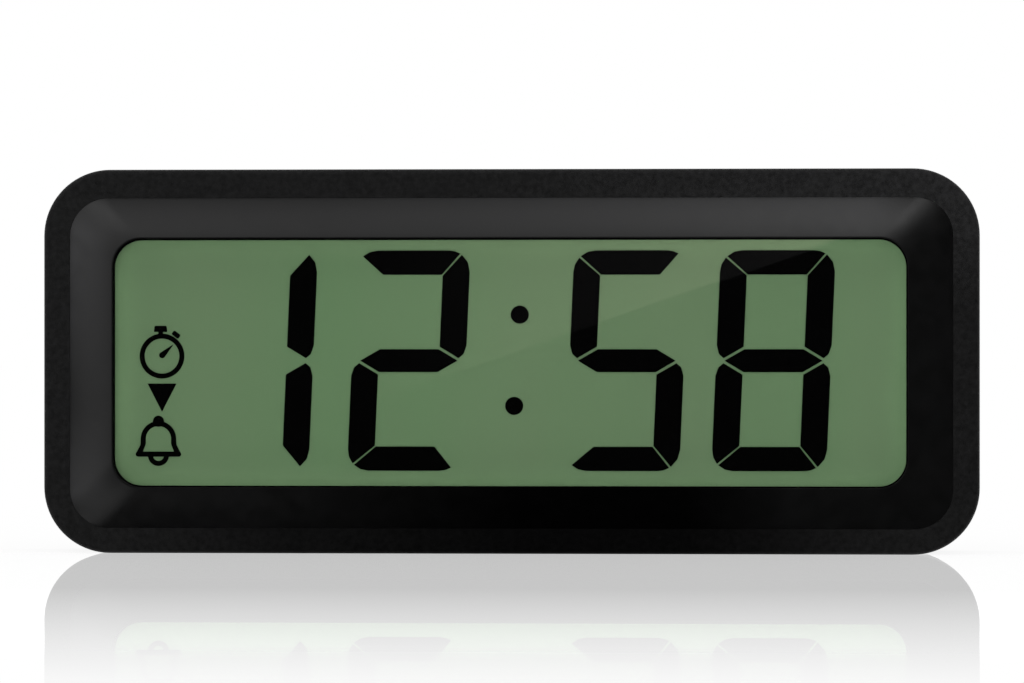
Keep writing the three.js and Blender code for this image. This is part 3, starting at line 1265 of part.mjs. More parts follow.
function displayParts() {
  const group = new THREE.Group();
  group.add(
    piece("lens", lens(), finishes.clearPlastic),
    piece("lens_tape", lensTape(), finishes.blackRubber),
    piece(
      "lcd_front_polarizer",
      displayPlate(DISPLAY_HEIGHT, POLARIZER_FRONT, FRONT_GLASS_FRONT),
      finishes.clearPlastic,
    ),
    piece(
      "lcd_front_glass",
      displayPlate(DISPLAY_HEIGHT, FRONT_GLASS_FRONT, FRONT_GLASS_BACK),
      finishes.clearGlass,
    ),
    piece("lcd_rear_glass", rearGlass(), finishes.displayDark),
    piece(
      "lcd_reflector",
      displayPlate(REAR_GLASS_HEIGHT, REAR_GLASS_BACK, REFLECTOR_BACK),
      finishes.displayGround,
    ),
    piece("display_holder", displayHolder(), finishes.whitePlastic),
    piece("zebra_strip_upper", zebraStrip(zebraPlaces[0]), finishes.blackRubber),
    piece("zebra_strip_lower", zebraStrip(zebraPlaces[1]), finishes.blackRubber),
  );
  earPlaces.forEach(([side, z], i) => {
    group.add(piece("holder_screw_" + (i + 1), holderScrew(side, z), finishes.steel));
  });
  return group;
}

function boardParts() {
  const group = new THREE.Group();
  group.add(
    piece("main_board", mainBoard(), finishes.boardGreen),
    piece("chip_cover", chipCover(), finishes.blackRubber),
    piece("crystal", crystal(), finishes.steel),
    piece("capacitor", capacitor(), finishes.cellSleeve),
    piece("mode_switch_body", modeSwitchBody(), finishes.steel),
    piece("mode_switch_lever", modeSwitchLever(), finishes.blackRubber),
    piece("mode_slider", modeSlider(), finishes.satinBlack),
  );
  buttonPlaces.forEach((x, i) => {
    group.add(
      piece("tact_switch_" + (i + 1), tactSwitch(x), finishes.steel),
      piece("tact_plunger_" + (i + 1), tactPlunger(x), finishes.blackRubber),
      piece("button_" + (i + 1), button(x), finishes.satinBlack),
    );
  });
  return group;
}

function powerAndSoundParts() {
  const group = new THREE.Group();
  const batteryLead = (z) => {
    const end = [contactX[0] - FIT, BAY_FLOOR_FRONT - TAB_REACH / 2 - FIT, z];
    const pad = [CHIP_PLACE[0] + CHIP_RADIUS + LEAD_FROM_CHIP, z - LEAD_DROP];
    return lead(pad, end, [5 * LEAD_RADIUS, 0, 0]);
  };
  const piezoLead = (padRise, offset, face) =>
    lead(
      [SOUNDER_X + 2 * SOUNDER_RADIUS, SOUNDER_HEIGHT + padRise],
      [SOUNDER_X + offset, face - FIT, SOUNDER_HEIGHT],
      [0, 5 * LEAD_RADIUS, 0],
    );
  const discEdge = (CERAMIC_RADIUS + SOUNDER_RADIUS) / 2;
  group.add(
    piece("battery_upper", cell(-1), finishes.cellSleeve),
    piece("battery_lower", cell(1), finishes.cellSleeve),
    piece("contact_bridge", contactBridge(), finishes.steel),
    piece("contact_positive", contactPositive(), finishes.steel),
    piece("contact_negative", contactNegative(), finishes.steel),
    piece("piezo_disc", piezoDisc(), finishes.brass),
    piece("piezo_ceramic", piezoCeramic(), finishes.ceramic),
    piece("battery_lead_red", batteryLead(UPPER_CELL_Z), finishes.redWire),
    piece("battery_lead_black", batteryLead(LOWER_CELL_Z), finishes.blackWire),
    piece("piezo_lead_red", piezoLead(PAD_SPREAD, CERAMIC_RADIUS / 2, CERAMIC_FRONT), finishes.redWire),
    piece("piezo_lead_black", piezoLead(0, discEdge, DISC_FRONT), finishes.blackWire),
  );
  return group;
}

const clock = new THREE.Group();
const body = new THREE.Group();
body.add(caseParts(), displayParts(), boardParts(), powerAndSoundParts());
body.position.y = -(CASE_DEPTH + Math.max(SLIDER_PROUD, BUTTON_PROUD)) / 2;
clock.add(body);

export default clock;
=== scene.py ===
import math

import bmesh
import bpy
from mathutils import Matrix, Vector

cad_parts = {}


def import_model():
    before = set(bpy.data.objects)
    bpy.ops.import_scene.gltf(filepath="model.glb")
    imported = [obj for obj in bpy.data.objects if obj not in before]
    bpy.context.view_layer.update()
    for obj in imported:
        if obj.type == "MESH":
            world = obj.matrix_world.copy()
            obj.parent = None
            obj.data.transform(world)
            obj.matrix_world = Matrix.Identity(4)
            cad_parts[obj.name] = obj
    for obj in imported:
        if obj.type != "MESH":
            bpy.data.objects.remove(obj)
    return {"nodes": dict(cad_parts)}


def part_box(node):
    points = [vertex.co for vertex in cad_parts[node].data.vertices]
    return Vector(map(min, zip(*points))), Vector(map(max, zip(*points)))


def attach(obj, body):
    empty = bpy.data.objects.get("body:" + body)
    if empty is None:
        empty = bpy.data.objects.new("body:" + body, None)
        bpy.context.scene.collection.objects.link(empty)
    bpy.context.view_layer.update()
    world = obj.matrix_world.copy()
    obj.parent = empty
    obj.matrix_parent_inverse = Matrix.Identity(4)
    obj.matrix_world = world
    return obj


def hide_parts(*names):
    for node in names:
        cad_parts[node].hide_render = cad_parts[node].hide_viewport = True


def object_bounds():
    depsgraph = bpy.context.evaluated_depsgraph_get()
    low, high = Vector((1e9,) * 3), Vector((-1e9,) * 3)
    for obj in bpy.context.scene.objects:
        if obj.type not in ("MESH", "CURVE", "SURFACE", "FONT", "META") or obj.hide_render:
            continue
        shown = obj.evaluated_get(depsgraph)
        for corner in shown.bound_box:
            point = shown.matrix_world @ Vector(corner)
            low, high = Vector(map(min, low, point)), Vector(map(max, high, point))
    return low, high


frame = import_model()
cad_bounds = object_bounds()
nodes = frame["nodes"]

# Sizes and places are in millimetres unless a comment says metres, and Blender gets metres
MM = 0.001

# The case, and the depths behind the crest of the sloping frame, which is the foremost edge
CASE_HALF = round(cad_bounds[1][0] / MM, 3)
CASE_TOP = round(cad_bounds[1][2] / MM, 3)
CREST_Y = round(cad_bounds[0][1] / MM, 3)
CASE_CORNER = 12.5
CASE_EDGE = 1.0
EDGE_FLAT = 0.06
EDGE_STEPS = 8
WALL = 2.0
RIM_DEPTH = 3.2
BEZEL_SEAT = 5.4
POCKET_BACK = 7.0
PARTING = 12.0
BACK_DEPTH = 26.4

# The hole and the pocket for the sloping frame, and the posts for the case screws
OPENING = dict(left=-78.45, right=78.45, bottom=9.0, top=62.9, radius=1.25)
POCKET = dict(left=-83.0, right=83.0, bottom=4.8, top=66.9, radius=7.3)
POCKET_BEVEL = 0.03
POST_HALF_SPAN = 77.5
POST_HEIGHTS = (10.5, 61.8)
POST_RADIUS = 3.0
POST_BORE = 1.4
POST_OVERLAP = 0.05

# The sloping frame from its outer edge to its crest, the pane behind it and the open window
BEZEL = dict(left=-82.97, right=82.97, bottom=4.83, top=66.87, radius=7.27)
CREST = dict(left=-74.49, right=74.49, bottom=12.52, top=59.26, radius=5.45)
PANE = dict(left=-74.37, right=74.37, bottom=12.63, top=59.14, radius=5.35)
WINDOW = dict(left=-74.22, right=74.22, bottom=12.81, top=58.92, radius=5.15)
SLOPE_STEPS = 30
SLOPE_BULGE = 0.22
LEAST_DEPTH = 0.02
# Rings over the crest, each a share of the way from BEZEL to CREST with its depth
CREST_RINGS = ((1.0, 0.0), (1.005, 0.02), (1.008, 0.08))
LENS_SEAT = 1.8
LIP_BEVEL = 0.02
LIP_BACK = 2.8
LIP_SLOPE = 0.7
# Rings of the hollow behind the slope, counted like the crest's
HOLLOW_RINGS = ((0.5, 2.85), (0.2, 4.2))
PANE_FRONT = 0.3
PANE_BACK = 1.5
PANE_BEVEL = 0.04
GAP = 0.01

# The display: its clear front sheet, and the glass behind it with the dark segments in relief
SHEET_FRONT = 2.9
SHEET_BACK = 4.27
SHEET_BEVEL = 0.15
SHEET_CORNER = 0.5
GLASS_FRONT = 4.25
RELIEF = 0.02
ICON_FRONT = 4.13
ICON_BACK = 4.27

# The signs on the display
WATCH = (-65.66, 37.15)
WATCH_OUTER = 4.24
WATCH_INNER = 3.3
WATCH_BUTTON = (-62.98, 41.19)
BUTTON_TURN = -37
CORNER_CUT = 0.35
HAND_PIVOT = (-65.62, 37.32)
HAND_TIP = (-63.45, 39.4)
HAND_RADIUS = 0.58
BELL_X = -66.33
BELL_CENTRE = 21.54
BELL_FOOT_Z = 18.9
BASE_Z = 18.66
BASE_REACH = 3.83
BASE_RADIUS = 0.49
BASE_RISE = 0.005
CLAPPER_Z = 18.42
KNOB_Z = 24.86

# Screws, and the signs printed on the back above the buttons
CASE_SCREW = dict(head_radius=2.5, head_height=1.6, shank_radius=1.3)
CASE_SCREW_SEAT = 17.0
CASE_SCREW_TIP = 8.6
HOLDER_SCREW = dict(head_radius=1.9, head_height=1.1, shank_radius=0.8)
PRINT_FRONT = BACK_DEPTH - 0.02
PRINT_BACK = BACK_DEPTH + 0.03
SIGN_Z = 57.3
SIGN_LINE = 0.42
SIGN_LENGTH = 2.4
CLOCK_SIGN_X = -70
BELL_SIGN_X = -60
PLUS_SIGN_X = -50
MINUS_SIGN_X = -40
TIMER_SIGN_X = -30
DOT_RADII = (0.35, 0.5, 0.65)
DOT_STEP = 3
DOT_RISE = 4.2


# Shapes

def point(x, depth, z):
    """A place in millimetres, with its depth behind the crest, in the row frame in metres."""
    return Vector((x * MM, (depth + CREST_Y) * MM, z * MM))


def piece(name, verts, faces, body="clock_case", smooth_angle=35):
    mesh = bpy.data.meshes.new(name)
    mesh.from_pydata([tuple(v) for v in verts], [], faces)
    mesh.validate()
    bm = bmesh.new()
    bm.from_mesh(mesh)
    bmesh.ops.recalc_face_normals(bm, faces=bm.faces)
    bm.to_mesh(mesh)
    bm.free()
    mesh.polygons.foreach_set("use_smooth", [True] * len(mesh.polygons))
    mesh.set_sharp_from_angle(angle=math.radians(smooth_angle))
    obj = bpy.data.objects.new(name, mesh)
    bpy.context.scene.collection.objects.link(obj)
    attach(obj, body)
    return obj


def quads(near, far, count, closed=True):
    """Faces between two lines of this many points, each given by the number of its first point."""
    last = count if closed else count - 1
    return [(near + i, near + (i + 1) % count, far + (i + 1) % count, far + i) for i in range(last)]


def ring_solid(name, *sections, **settings):
    """Closed frames, each with a section that runs through its rings and back to the first one."""
    verts = []
    faces = []
    for rings in sections:
        start = len(verts)
        count = len(rings[0])
        verts += [v for ring in rings for v in ring]
        for level in range(len(rings)):
            after = (level + 1) % len(rings)
            faces += quads(start + level * count, start + after * count, count)
    return piece(name, verts, faces, **settings)


def closed_loft(name, rings):
    """A solid through rings of equal counts, closed flat at both ends."""
    count = len(rings[0])
    verts = [v for ring in rings for v in ring]
    faces = [tuple(range(count)), tuple(range(len(verts) - 1, len(verts) - count - 1, -1))]
    for start in range(0, len(verts) - count, count):
        faces += quads(start, start + count, count)
    return piece(name, verts, faces)


def prism(name, outlines, front, back):
    """Flat closed outlines, each a list of (x, z), given thickness between two depths."""
    verts = []
    faces = []
    for outline in outlines:
        start = len(verts)
        count = len(outline)
        verts += [point(x, depth, z) for depth in (front, back) for x, z in outline]
        faces.append(tuple(range(start, start + count)))
        faces.append(tuple(range(start + 2 * count - 1, start + count - 1, -1)))
        faces += quads(start, start + count, count)
    return piece(name, verts, faces)


def strip(name, outer, inner, front, back, closed=True):
    """A flat curved strip between two lines of points, as one closed solid."""
    count = len(outer)
    lines = [(outer, front), (inner, front), (inner, back), (outer, back)]
    verts = [point(x, depth, z) for line, depth in lines for x, z in line]
    faces = []
    for line in range(4):
        faces += quads(line * count, (line + 1) % 4 * count, count, closed)
    if not closed:
        faces.append(tuple(line * count for line in range(4)))
        faces.append(tuple(line * count + count - 1 for line in (3, 2, 1, 0)))
    return piece(name, verts, faces)


def rounded_ring(depth, left, right, bottom, top, radius, steps=20):
    """Points of a rounded rectangle at one depth."""
    corners = [
        (right - radius, top - radius, 0),
        (left + radius, top - radius, 1),
        (left + radius, bottom + radius, 2),
        (right - radius, bottom + radius, 3),
    ]
    points = []
    for x, z, quarter in corners:
        for i in range(steps + 1):
            angle = (quarter + i / steps) * math.pi / 2
            points.append(point(x + radius * math.cos(angle), depth, z + radius * math.sin(angle)))
    return points


def inset_ring(outline, depth, inset):
    """An outline at one depth, drawn in by an amount on every side."""
    return rounded_ring(depth, outline["left"] + inset, outline["right"] - inset, outline["bottom"] + inset,
                        outline["top"] - inset, outline["radius"] - inset)


def circle(x, z, radius, depth, count=20):
    turns = [2 * math.pi * i / count for i in range(count)]
    return [point(x + radius * math.cos(a), depth, z + radius * math.sin(a)) for a in turns]


def arc(x, z, radius, start, end, steps=24):
    """Points (x, z) of an arc, with its angles in degrees."""
    angles = [math.radians(start + (end - start) * i / steps) for i in range(steps + 1)]
    return [(x + radius * math.cos(a), z + radius * math.sin(a)) for a in angles]


def full_circle(x, z, radius, steps=28):
    return arc(x, z, radius, 0, 360 - 360 / steps, steps - 1)


def bar(x, z, width, height):
    left = x - width / 2
    right = x + width / 2
    bottom = z - height / 2
    top = z + height / 2
    return [(left, bottom), (right, bottom), (right, top), (left, top)]


def cross(x, z, length, width):
    """The outline of a plus sign."""
    a = length / 2
    b = width / 2
    corners = [
        (a, b), (b, b), (b, a), (-b, a), (-b, b), (-a, b),
        (-a, -b), (-b, -b), (-b, -a), (b, -a), (b, -b), (a, -b),
    ]
    return [(x + u, z + v) for u, v in corners]


def turned(centre, half_width, half_height, angle):
    """A small rectangle with cut corners, turned by an angle in degrees."""
    cut = half_height * CORNER_CUT
    outline = [
        (-half_width + cut, -half_height), (half_width - cut, -half_height), (half_width, -half_height + cut),
        (half_width, half_height - cut), (half_width - cut, half_height), (-half_width + cut, half_height),
        (-half_width, half_height - cut), (-half_width, -half_height + cut),
    ]
    c = math.cos(math.radians(angle))
    s = math.sin(math.radians(angle))
    return [(centre[0] + x * c - z * s, centre[1] + x * s + z * c) for x, z in outline]


def bell_line(middle_x, centre, foot, waist, radius, steps=24):
    """From a bell's left foot over its waist and its dome to the right foot."""
    left = [(middle_x - x, z) for x, z in (foot, waist)]
    right = [(middle_x + x, z) for x, z in (waist, foot)]
    return left + arc(middle_x, centre, radius, 180, 0, steps) + right


def middle(node):
    """The middle of a node's box, seen from the front."""
    low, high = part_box(node)
    return (low.x + high.x) / 2 / MM, (low.z + high.z) / 2 / MM


# Node trees

class Tree:
    """Steps for building a tree of nodes, whose inputs are numbers, colours or other nodes' outputs."""

    def __init__(self, tree):
        self.tree = tree
        self.tree.nodes.clear()

    def link(self, source, target):
        self.tree.links.new(source, target)

    def feed(self, socket, value):
        if isinstance(value, bpy.types.NodeSocket):
            self.link(value, socket)
        elif socket.type == "RGBA":
            socket.default_value = (*value, 1)
        else:
            socket.default_value = value

    def node(self, kind, inputs=(), **settings):
        """A new node with its settings, and its inputs fed by name or number."""
        made = self.tree.nodes.new(kind)
        for key, value in settings.items():
            setattr(made, key, value)
        for key, value in dict(inputs).items():
            self.feed(made.inputs[key], value)
        return made

    def number(self, operation, *values):
        """One step of arithmetic."""
        return self.node("ShaderNodeMath", enumerate(values), operation=operation).outputs["Value"]

    def remap(self, value, low, high, start=0.3, end=0.7, **settings):
        """A value between start and end, spread from low to high."""
        inputs = {"Value": value, "From Min": start, "From Max": end, "To Min": low, "To Max": high}
        return self.node("ShaderNodeMapRange", inputs, **settings).outputs["Result"]

    def ramp(self, place, start, end):
        """From 0 to 1 between two places in millimetres."""
        return self.remap(place, 0, 1, start * MM, end * MM)

    def axis(self, vector, name):
        """One coordinate of a vector."""
        return self.node("ShaderNodeSeparateXYZ", {"Vector": vector}).outputs[name]

    def mix_shader(self, factor, first, second):
        return self.node("ShaderNodeMixShader", {"Fac": factor, 1: first, 2: second}).outputs["Shader"]

    def gloss(self, color=(1, 1, 1), roughness=0.0):
        return self.node("ShaderNodeBsdfGlossy", {"Color": color, "Roughness": roughness}).outputs["BSDF"]


class Finish(Tree):
    """A procedural material built from a Principled shader, with coordinates in the row frame."""

    def __init__(self, name, color, roughness, metallic=0.0, specular=0.5):
        self.material = bpy.data.materials.new(name)
        self.material.use_nodes = True
        super().__init__(self.material.node_tree)
        self.color = color
        self.roughness = roughness
        self.shader = self.node("ShaderNodeBsdfPrincipled", {
            "Base Color": color, "Roughness": roughness, "Metallic": metallic, "Specular IOR Level": specular,
        })
        self.output = self.node("ShaderNodeOutputMaterial")
        self.show(self.shader.outputs["BSDF"])
        self.place = self.node("ShaderNodeTexCoord").outputs["Object"]

    def show(self, shader):
        self.link(shader, self.output.inputs["Surface"])

    def noise(self, size, detail=3.0, stretch=(1, 1, 1)):
        """Noise whose features are about this many millimetres across."""
        mapping = self.node("ShaderNodeMapping", {"Vector": self.place, "Scale": stretch})
        texture = self.node("ShaderNodeTexNoise", {
            "Vector": mapping.outputs["Vector"], "Scale": 1 / (size * MM), "Detail": detail,
        })
        return texture.outputs["Fac"]

    def coordinate(self, name):
        """One coordinate of the place, in metres."""
        return self.axis(self.place, name)

    def mix(self, factor, first, second):
        """A colour between two colours."""
        mixed = self.node("ShaderNodeMix", {"Factor": factor}, data_type="RGBA")
        for side, value in (("A", first), ("B", second)):
            self.feed([s for s in mixed.inputs if s.name == side and s.type == "RGBA"][0], value)
        return [s for s in mixed.outputs if s.type == "RGBA"][0]

    def vary_color(self, size, amount, detail=3.0):
        """The base colour, a little darker and lighter in patches of this size."""
        dark = tuple(c * (1 - amount) for c in self.color)
        light = tuple(c * (1 + amount) for c in self.color)
        patches = self.remap(self.noise(size, detail), 0, 1)
        self.link(self.mix(patches, dark, light), self.shader.inputs["Base Color"])
        return self

    def vary_roughness(self, size, amount, detail=4.0):
        value = self.remap(self.noise(size, detail), self.roughness - amount, self.roughness + amount)
        self.link(value, self.shader.inputs["Roughness"])
        return self

    def bump(self, size, height, strength, detail=2.0):
        bump = self.node("ShaderNodeBump", {
            "Strength": strength, "Distance": height * MM, "Height": self.noise(size, detail),
        })
        self.link(bump.outputs["Normal"], self.shader.inputs["Normal"])
        return self

    def clear(self, mirror, tint=(1, 1, 1)):
        """Light goes straight through, apart from the share that the surface mirrors."""
        facing = self.node("ShaderNodeLayerWeight", {"Blend": 0.5}).outputs["Facing"]
        grazing = self.number("POWER", facing, 5)
        least = self.remap(self.noise(30, 2.0), mirror * 0.94, mirror * 1.06)
        share = self.number("MULTIPLY_ADD", grazing, 1 - mirror, least)
        through = self.node("ShaderNodeBsdfTransparent", {"Color": tint}).outputs["BSDF"]
        self.show(self.mix_shader(share, through, self.gloss(roughness=self.roughness)))
        return self


def paint(finish, *names):
    for name in names:
        obj = nodes[name] if name in nodes else bpy.data.objects[name]
        obj.data.materials.clear()
        obj.data.materials.append(finish.material)


def smoothing_group(angle):
    """Nodes that shade a mesh smooth, apart from its edges above an angle in degrees."""
    group = bpy.data.node_groups.new("smooth_by_angle", "GeometryNodeTree")
    for in_out in ("INPUT", "OUTPUT"):
        group.interface.new_socket("Geometry", in_out=in_out, socket_type="NodeSocketGeometry")
    tree = Tree(group)
    start = tree.node("NodeGroupInput")
    faces = tree.node("GeometryNodeSetShadeSmooth", {"Geometry": start.outputs["Geometry"]}, domain="FACE")
    turn = tree.node("GeometryNodeInputMeshEdgeAngle").outputs["Unsigned Angle"]
    sharp = tree.node("FunctionNodeCompare", {0: turn, 1: math.radians(angle)}, data_type="FLOAT",
                      operation="GREATER_THAN")
    edges = tree.node("GeometryNodeSetShadeSmooth", {
        "Geometry": faces.outputs["Geometry"], "Selection": sharp.outputs["Result"], "Shade Smooth": False,
    }, domain="EDGE")
    tree.node("NodeGroupOutput", {"Geometry": edges.outputs["Geometry"]})
    return group


smooth_by_angle = smoothing_group(32)


def smooth(name):
    """Soft shading over the facets of a CAD node's curves."""
    weld = nodes[name].modifiers.new("Weld", "WELD")
    weld.merge_threshold = 1e-6
    nodes[name].modifiers.new("Smooth", "NODES").node_group = smooth_by_angle


# Materials of the front, with painted shade that makes them darker and duller low in its middle

# How much painted shade along the width, as pairs of X and a share
PAINTED_SHADE_STOPS = (
    (-74, 0.0), (-55, 0.32), (-45, 0.5), (-17, 0.69), (2, 0.78),
    (33, 0.78), (49, 0.55), (58, 0.28), (74, 0.0),
)
PAINTED_SHADE_HALF = 80
PAINTED_SHADE_PEAK = max(share for x, share in PAINTED_SHADE_STOPS)
# Where the painted shade fades out, upwards and towards the back
PAINTED_SHADE_FADES = {"Z": (12.5, 15.5), "Y": (-9.5, -7.5)}


def paint_shade_low_middle(finish, start, most):
    """Paints shade into a finish low in the middle of the front, darker and less glossy, from a share of the
    stops on.
    """
    ramp = finish.node("ShaderNodeValToRGB")
    stops = ramp.color_ramp.elements
    stops.remove(stops[1])
    for number, (x, share) in enumerate(PAINTED_SHADE_STOPS):
        place = (x + PAINTED_SHADE_HALF) / (2 * PAINTED_SHADE_HALF)
        stop = stops.new(place) if number else stops[0]
        stop.position = place
        stop.color = (share, share, share, 1)
    finish.link(finish.ramp(finish.coordinate("X"), -PAINTED_SHADE_HALF, PAINTED_SHADE_HALF), ramp.inputs["Fac"])
    share = finish.remap(ramp.outputs["Color"], 0, most, start, PAINTED_SHADE_PEAK)
    for name, (first, last) in PAINTED_SHADE_FADES.items():
        fade = finish.remap(finish.coordinate(name), 1, 0, first * MM, last * MM)
        share = finish.number("MULTIPLY", share, fade)
    base = finish.shader.inputs["Base Color"]
    finish.link(finish.mix(share, base.links[0].from_socket, (0, 0, 0)), base)
    gloss = finish.shader.inputs["Specular IOR Level"]
    finish.link(finish.remap(share, gloss.default_value, 0, 0, 1), gloss)


case_finish = Finish("case_textured", (0.0062, 0.0062, 0.0064), roughness=0.62, specular=0.23)
case_finish.vary_color(size=0.9, amount=0.4, detail=5.0).vary_roughness(size=2.5, amount=0.06)
case_finish.bump(size=0.32, height=0.06, strength=0.8)
# Painted shade: the rim is darker and less glossy low in the middle of the front
paint_shade_low_middle(case_finish, start=0, most=0.78)

bezel_finish = Finish("bezel_satin", (0.0024, 0.0024, 0.0025), roughness=0.31)
bezel_finish.vary_color(size=3.0, amount=0.2).vary_roughness(size=3.0, amount=0.035)
bezel_finish.bump(size=0.45, height=0.006, strength=0.5)
# Painted shade: the sloping frame is darker and less glossy low in the middle of the front
paint_shade_low_middle(bezel_finish, start=0.45, most=0.85)

# Materials of the window and the display

lens_finish = Finish("window_clear", (0.9, 0.92, 0.9), roughness=0.0).clear(mirror=0.04)

film_finish = Finish("display_film", (0.9, 0.92, 0.9), roughness=0.06)
film_finish.clear(mirror=0.01, tint=(0.985, 0.995, 0.98))

# Near-black without gloss: the real tape behind the window, and painted shade on the frame's crest and the
# edge that holds the window
tape_and_painted_shade_finish = Finish("black_tape", (0.0008, 0.0008, 0.0008), roughness=0.7, specular=0.0)
tape_and_painted_shade_finish.vary_color(size=1.0, amount=0.3)

segment_finish = Finish("display_segments", (0.0002, 0.0002, 0.0002), roughness=0.35, specular=0.0)
segment_finish.vary_color(size=2.0, amount=0.3)

# The display's ground has faint upright bands of two colours, and a lighter colour along its edges as painted
# light where the frame's shade falls
GROUND = (0.163, 0.264, 0.139)
GROUND_BANDS = ((0.1537, 0.2605, 0.1342), (0.167, 0.2586, 0.142))
GROUND_PAINTED_LIGHT = (0.261, 0.422, 0.223)
BAND_SIZE = 24.0
BAND_STRETCH = (1, 1, 0.1)
GROUND_MIDDLE = {"X": 0.29, "Z": 35.87}
GROUND_HALF = {"X": 73.89, "Z": 23.04}
PAINTED_LIGHT_FADE = 7
PAINTED_LIGHT_POWER = 2.6


def ground_material():
    """Grey-green in faint upright bands, with painted light along the edges where the frame takes the light
    away.
    """
    finish = Finish("display_ground", GROUND, roughness=0.55, specular=0.0)
    bands = finish.remap(finish.noise(BAND_SIZE, 1.0, BAND_STRETCH), 0, 1)
    # Painted light: lighter towards the ground's edges, in place of the frame's shade
    painted_lifts = []
    for name, half in GROUND_HALF.items():
        away = finish.number("SUBTRACT", finish.coordinate(name), GROUND_MIDDLE[name] * MM)
        near = finish.ramp(finish.number("ABSOLUTE", away), half - PAINTED_LIGHT_FADE, half)
        painted_lifts.append(finish.number("POWER", near, PAINTED_LIGHT_POWER))
    color = finish.mix(finish.number("ADD", *painted_lifts), finish.mix(bands, *GROUND_BANDS), GROUND_PAINTED_LIGHT)
    finish.link(color, finish.shader.inputs["Base Color"])
    return finish


ground_finish = ground_material()

# Materials of the inside and the back

white_finish = Finish("holder_white", (0.68, 0.68, 0.65), roughness=0.45)
white_finish.vary_color(size=3.0, amount=0.05).bump(size=0.4, height=0.02, strength=0.3)

rubber_finish = Finish("black_rubber", (0.014, 0.014, 0.014), roughness=0.7)
rubber_finish.vary_color(size=0.8, amount=0.2).bump(size=0.3, height=0.02, strength=0.4)

steel_finish = Finish("plated_steel", (0.46, 0.47, 0.49), roughness=0.3, metallic=1.0)
steel_finish.vary_roughness(size=1.5, amount=0.06).bump(size=0.6, height=0.003, strength=0.2)

brass_finish = Finish("brass", (0.58, 0.40, 0.13), roughness=0.3, metallic=1.0)
brass_finish.vary_roughness(size=0.8, amount=0.08)

ceramic_finish = Finish("ceramic_white", (0.78, 0.76, 0.68), roughness=0.5)
ceramic_finish.vary_color(size=0.5, amount=0.05)

switch_finish = Finish("switch_black", (0.009, 0.009, 0.009), roughness=0.45)
switch_finish.vary_color(size=0.6, amount=0.2).bump(size=0.2, height=0.01, strength=0.3)

button_finish = Finish("button_black", (0.0125, 0.0125, 0.013), roughness=0.38)
button_finish.vary_color(size=1.0, amount=0.15).vary_roughness(size=1.5, amount=0.04)
button_finish.bump(size=0.2, height=0.01, strength=0.3)

red_finish = Finish("wire_red", (0.42, 0.025, 0.018), roughness=0.42)
red_finish.vary_color(size=1.2, amount=0.12).bump(size=0.5, height=0.01, strength=0.3)

black_wire_finish = Finish("wire_black", (0.012, 0.012, 0.012), roughness=0.42)
black_wire_finish.vary_color(size=1.2, amount=0.2).bump(size=0.5, height=0.01, strength=0.3)

can_finish = Finish("cell_sleeve", (0.03, 0.06, 0.10), roughness=0.3)
can_finish.vary_color(size=2.0, amount=0.1)

sign_finish = Finish("sign_print", (0.42, 0.42, 0.42), roughness=0.5, specular=0.3)
sign_finish.vary_color(size=0.4, amount=0.12)


def board_material():
    """Green solder mask over darker traces that run along the board."""
    finish = Finish("board_green", (0.02, 0.11, 0.035), roughness=0.35)
    upright = finish.node("ShaderNodeMapping", {"Vector": finish.place, "Rotation": (math.pi / 2, 0, 0)})
    traces = finish.node("ShaderNodeTexBrick", {
        "Vector": upright.outputs["Vector"], "Color1": (0.02, 0.13, 0.04), "Color2": (0.016, 0.10, 0.032),
        "Mortar": (0.012, 0.065, 0.022), "Scale": 110, "Mortar Size": 0.03,
    })
    finish.link(traces.outputs["Color"], finish.shader.inputs["Base Color"])
    return finish.bump(size=0.6, height=0.01, strength=0.3)


# Lengths along a cell, half the width of the soft edges between its colours, and those colours
CELL_TIP = 1.0
CELL_BAND = 9
CELL_END = 0.4
CELL_END_EDGE = 0.05
BAND_EDGE = 0.05
TIP_EDGE = 0.02
SLEEVE = ((0.045, 0.15, 0.24), (0.055, 0.17, 0.28))
SLEEVE_BAND = (0.55, 0.56, 0.54)
BARE_METAL = (0.6, 0.6, 0.58)


def cell_material(name, tip_side):
    """A plain cell: a coloured sleeve with a lighter band, and bare metal at both ends."""
    finish = Finish(name, (0.05, 0.16, 0.26), roughness=0.28)
    low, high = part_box(name)
    tip = (high.x if tip_side > 0 else low.x) / MM
    end = (low.x if tip_side > 0 else high.x) / MM
    shoulder = tip - tip_side * CELL_TIP
    band_start = shoulder - tip_side * CELL_BAND
    band_edge = tip_side * BAND_EDGE
    tip_edge = tip_side * TIP_EDGE
    along = finish.coordinate("X")
    band = finish.ramp(along, band_start - band_edge, band_start + band_edge)
    metal_tip = finish.ramp(along, shoulder - tip_edge, shoulder + tip_edge)
    metal_end = finish.ramp(along, end + tip_side * (CELL_END + CELL_END_EDGE), end + tip_side * CELL_END)
    metal = finish.number("MAXIMUM", metal_tip, metal_end)
    sleeve = finish.mix(finish.remap(finish.noise(4.0), 0, 1), *SLEEVE)
    color = finish.mix(metal, finish.mix(band, sleeve, SLEEVE_BAND), BARE_METAL)
    finish.link(color, finish.shader.inputs["Base Color"])
    finish.link(metal, finish.shader.inputs["Metallic"])
    return finish.vary_roughness(size=3.0, amount=0.05)


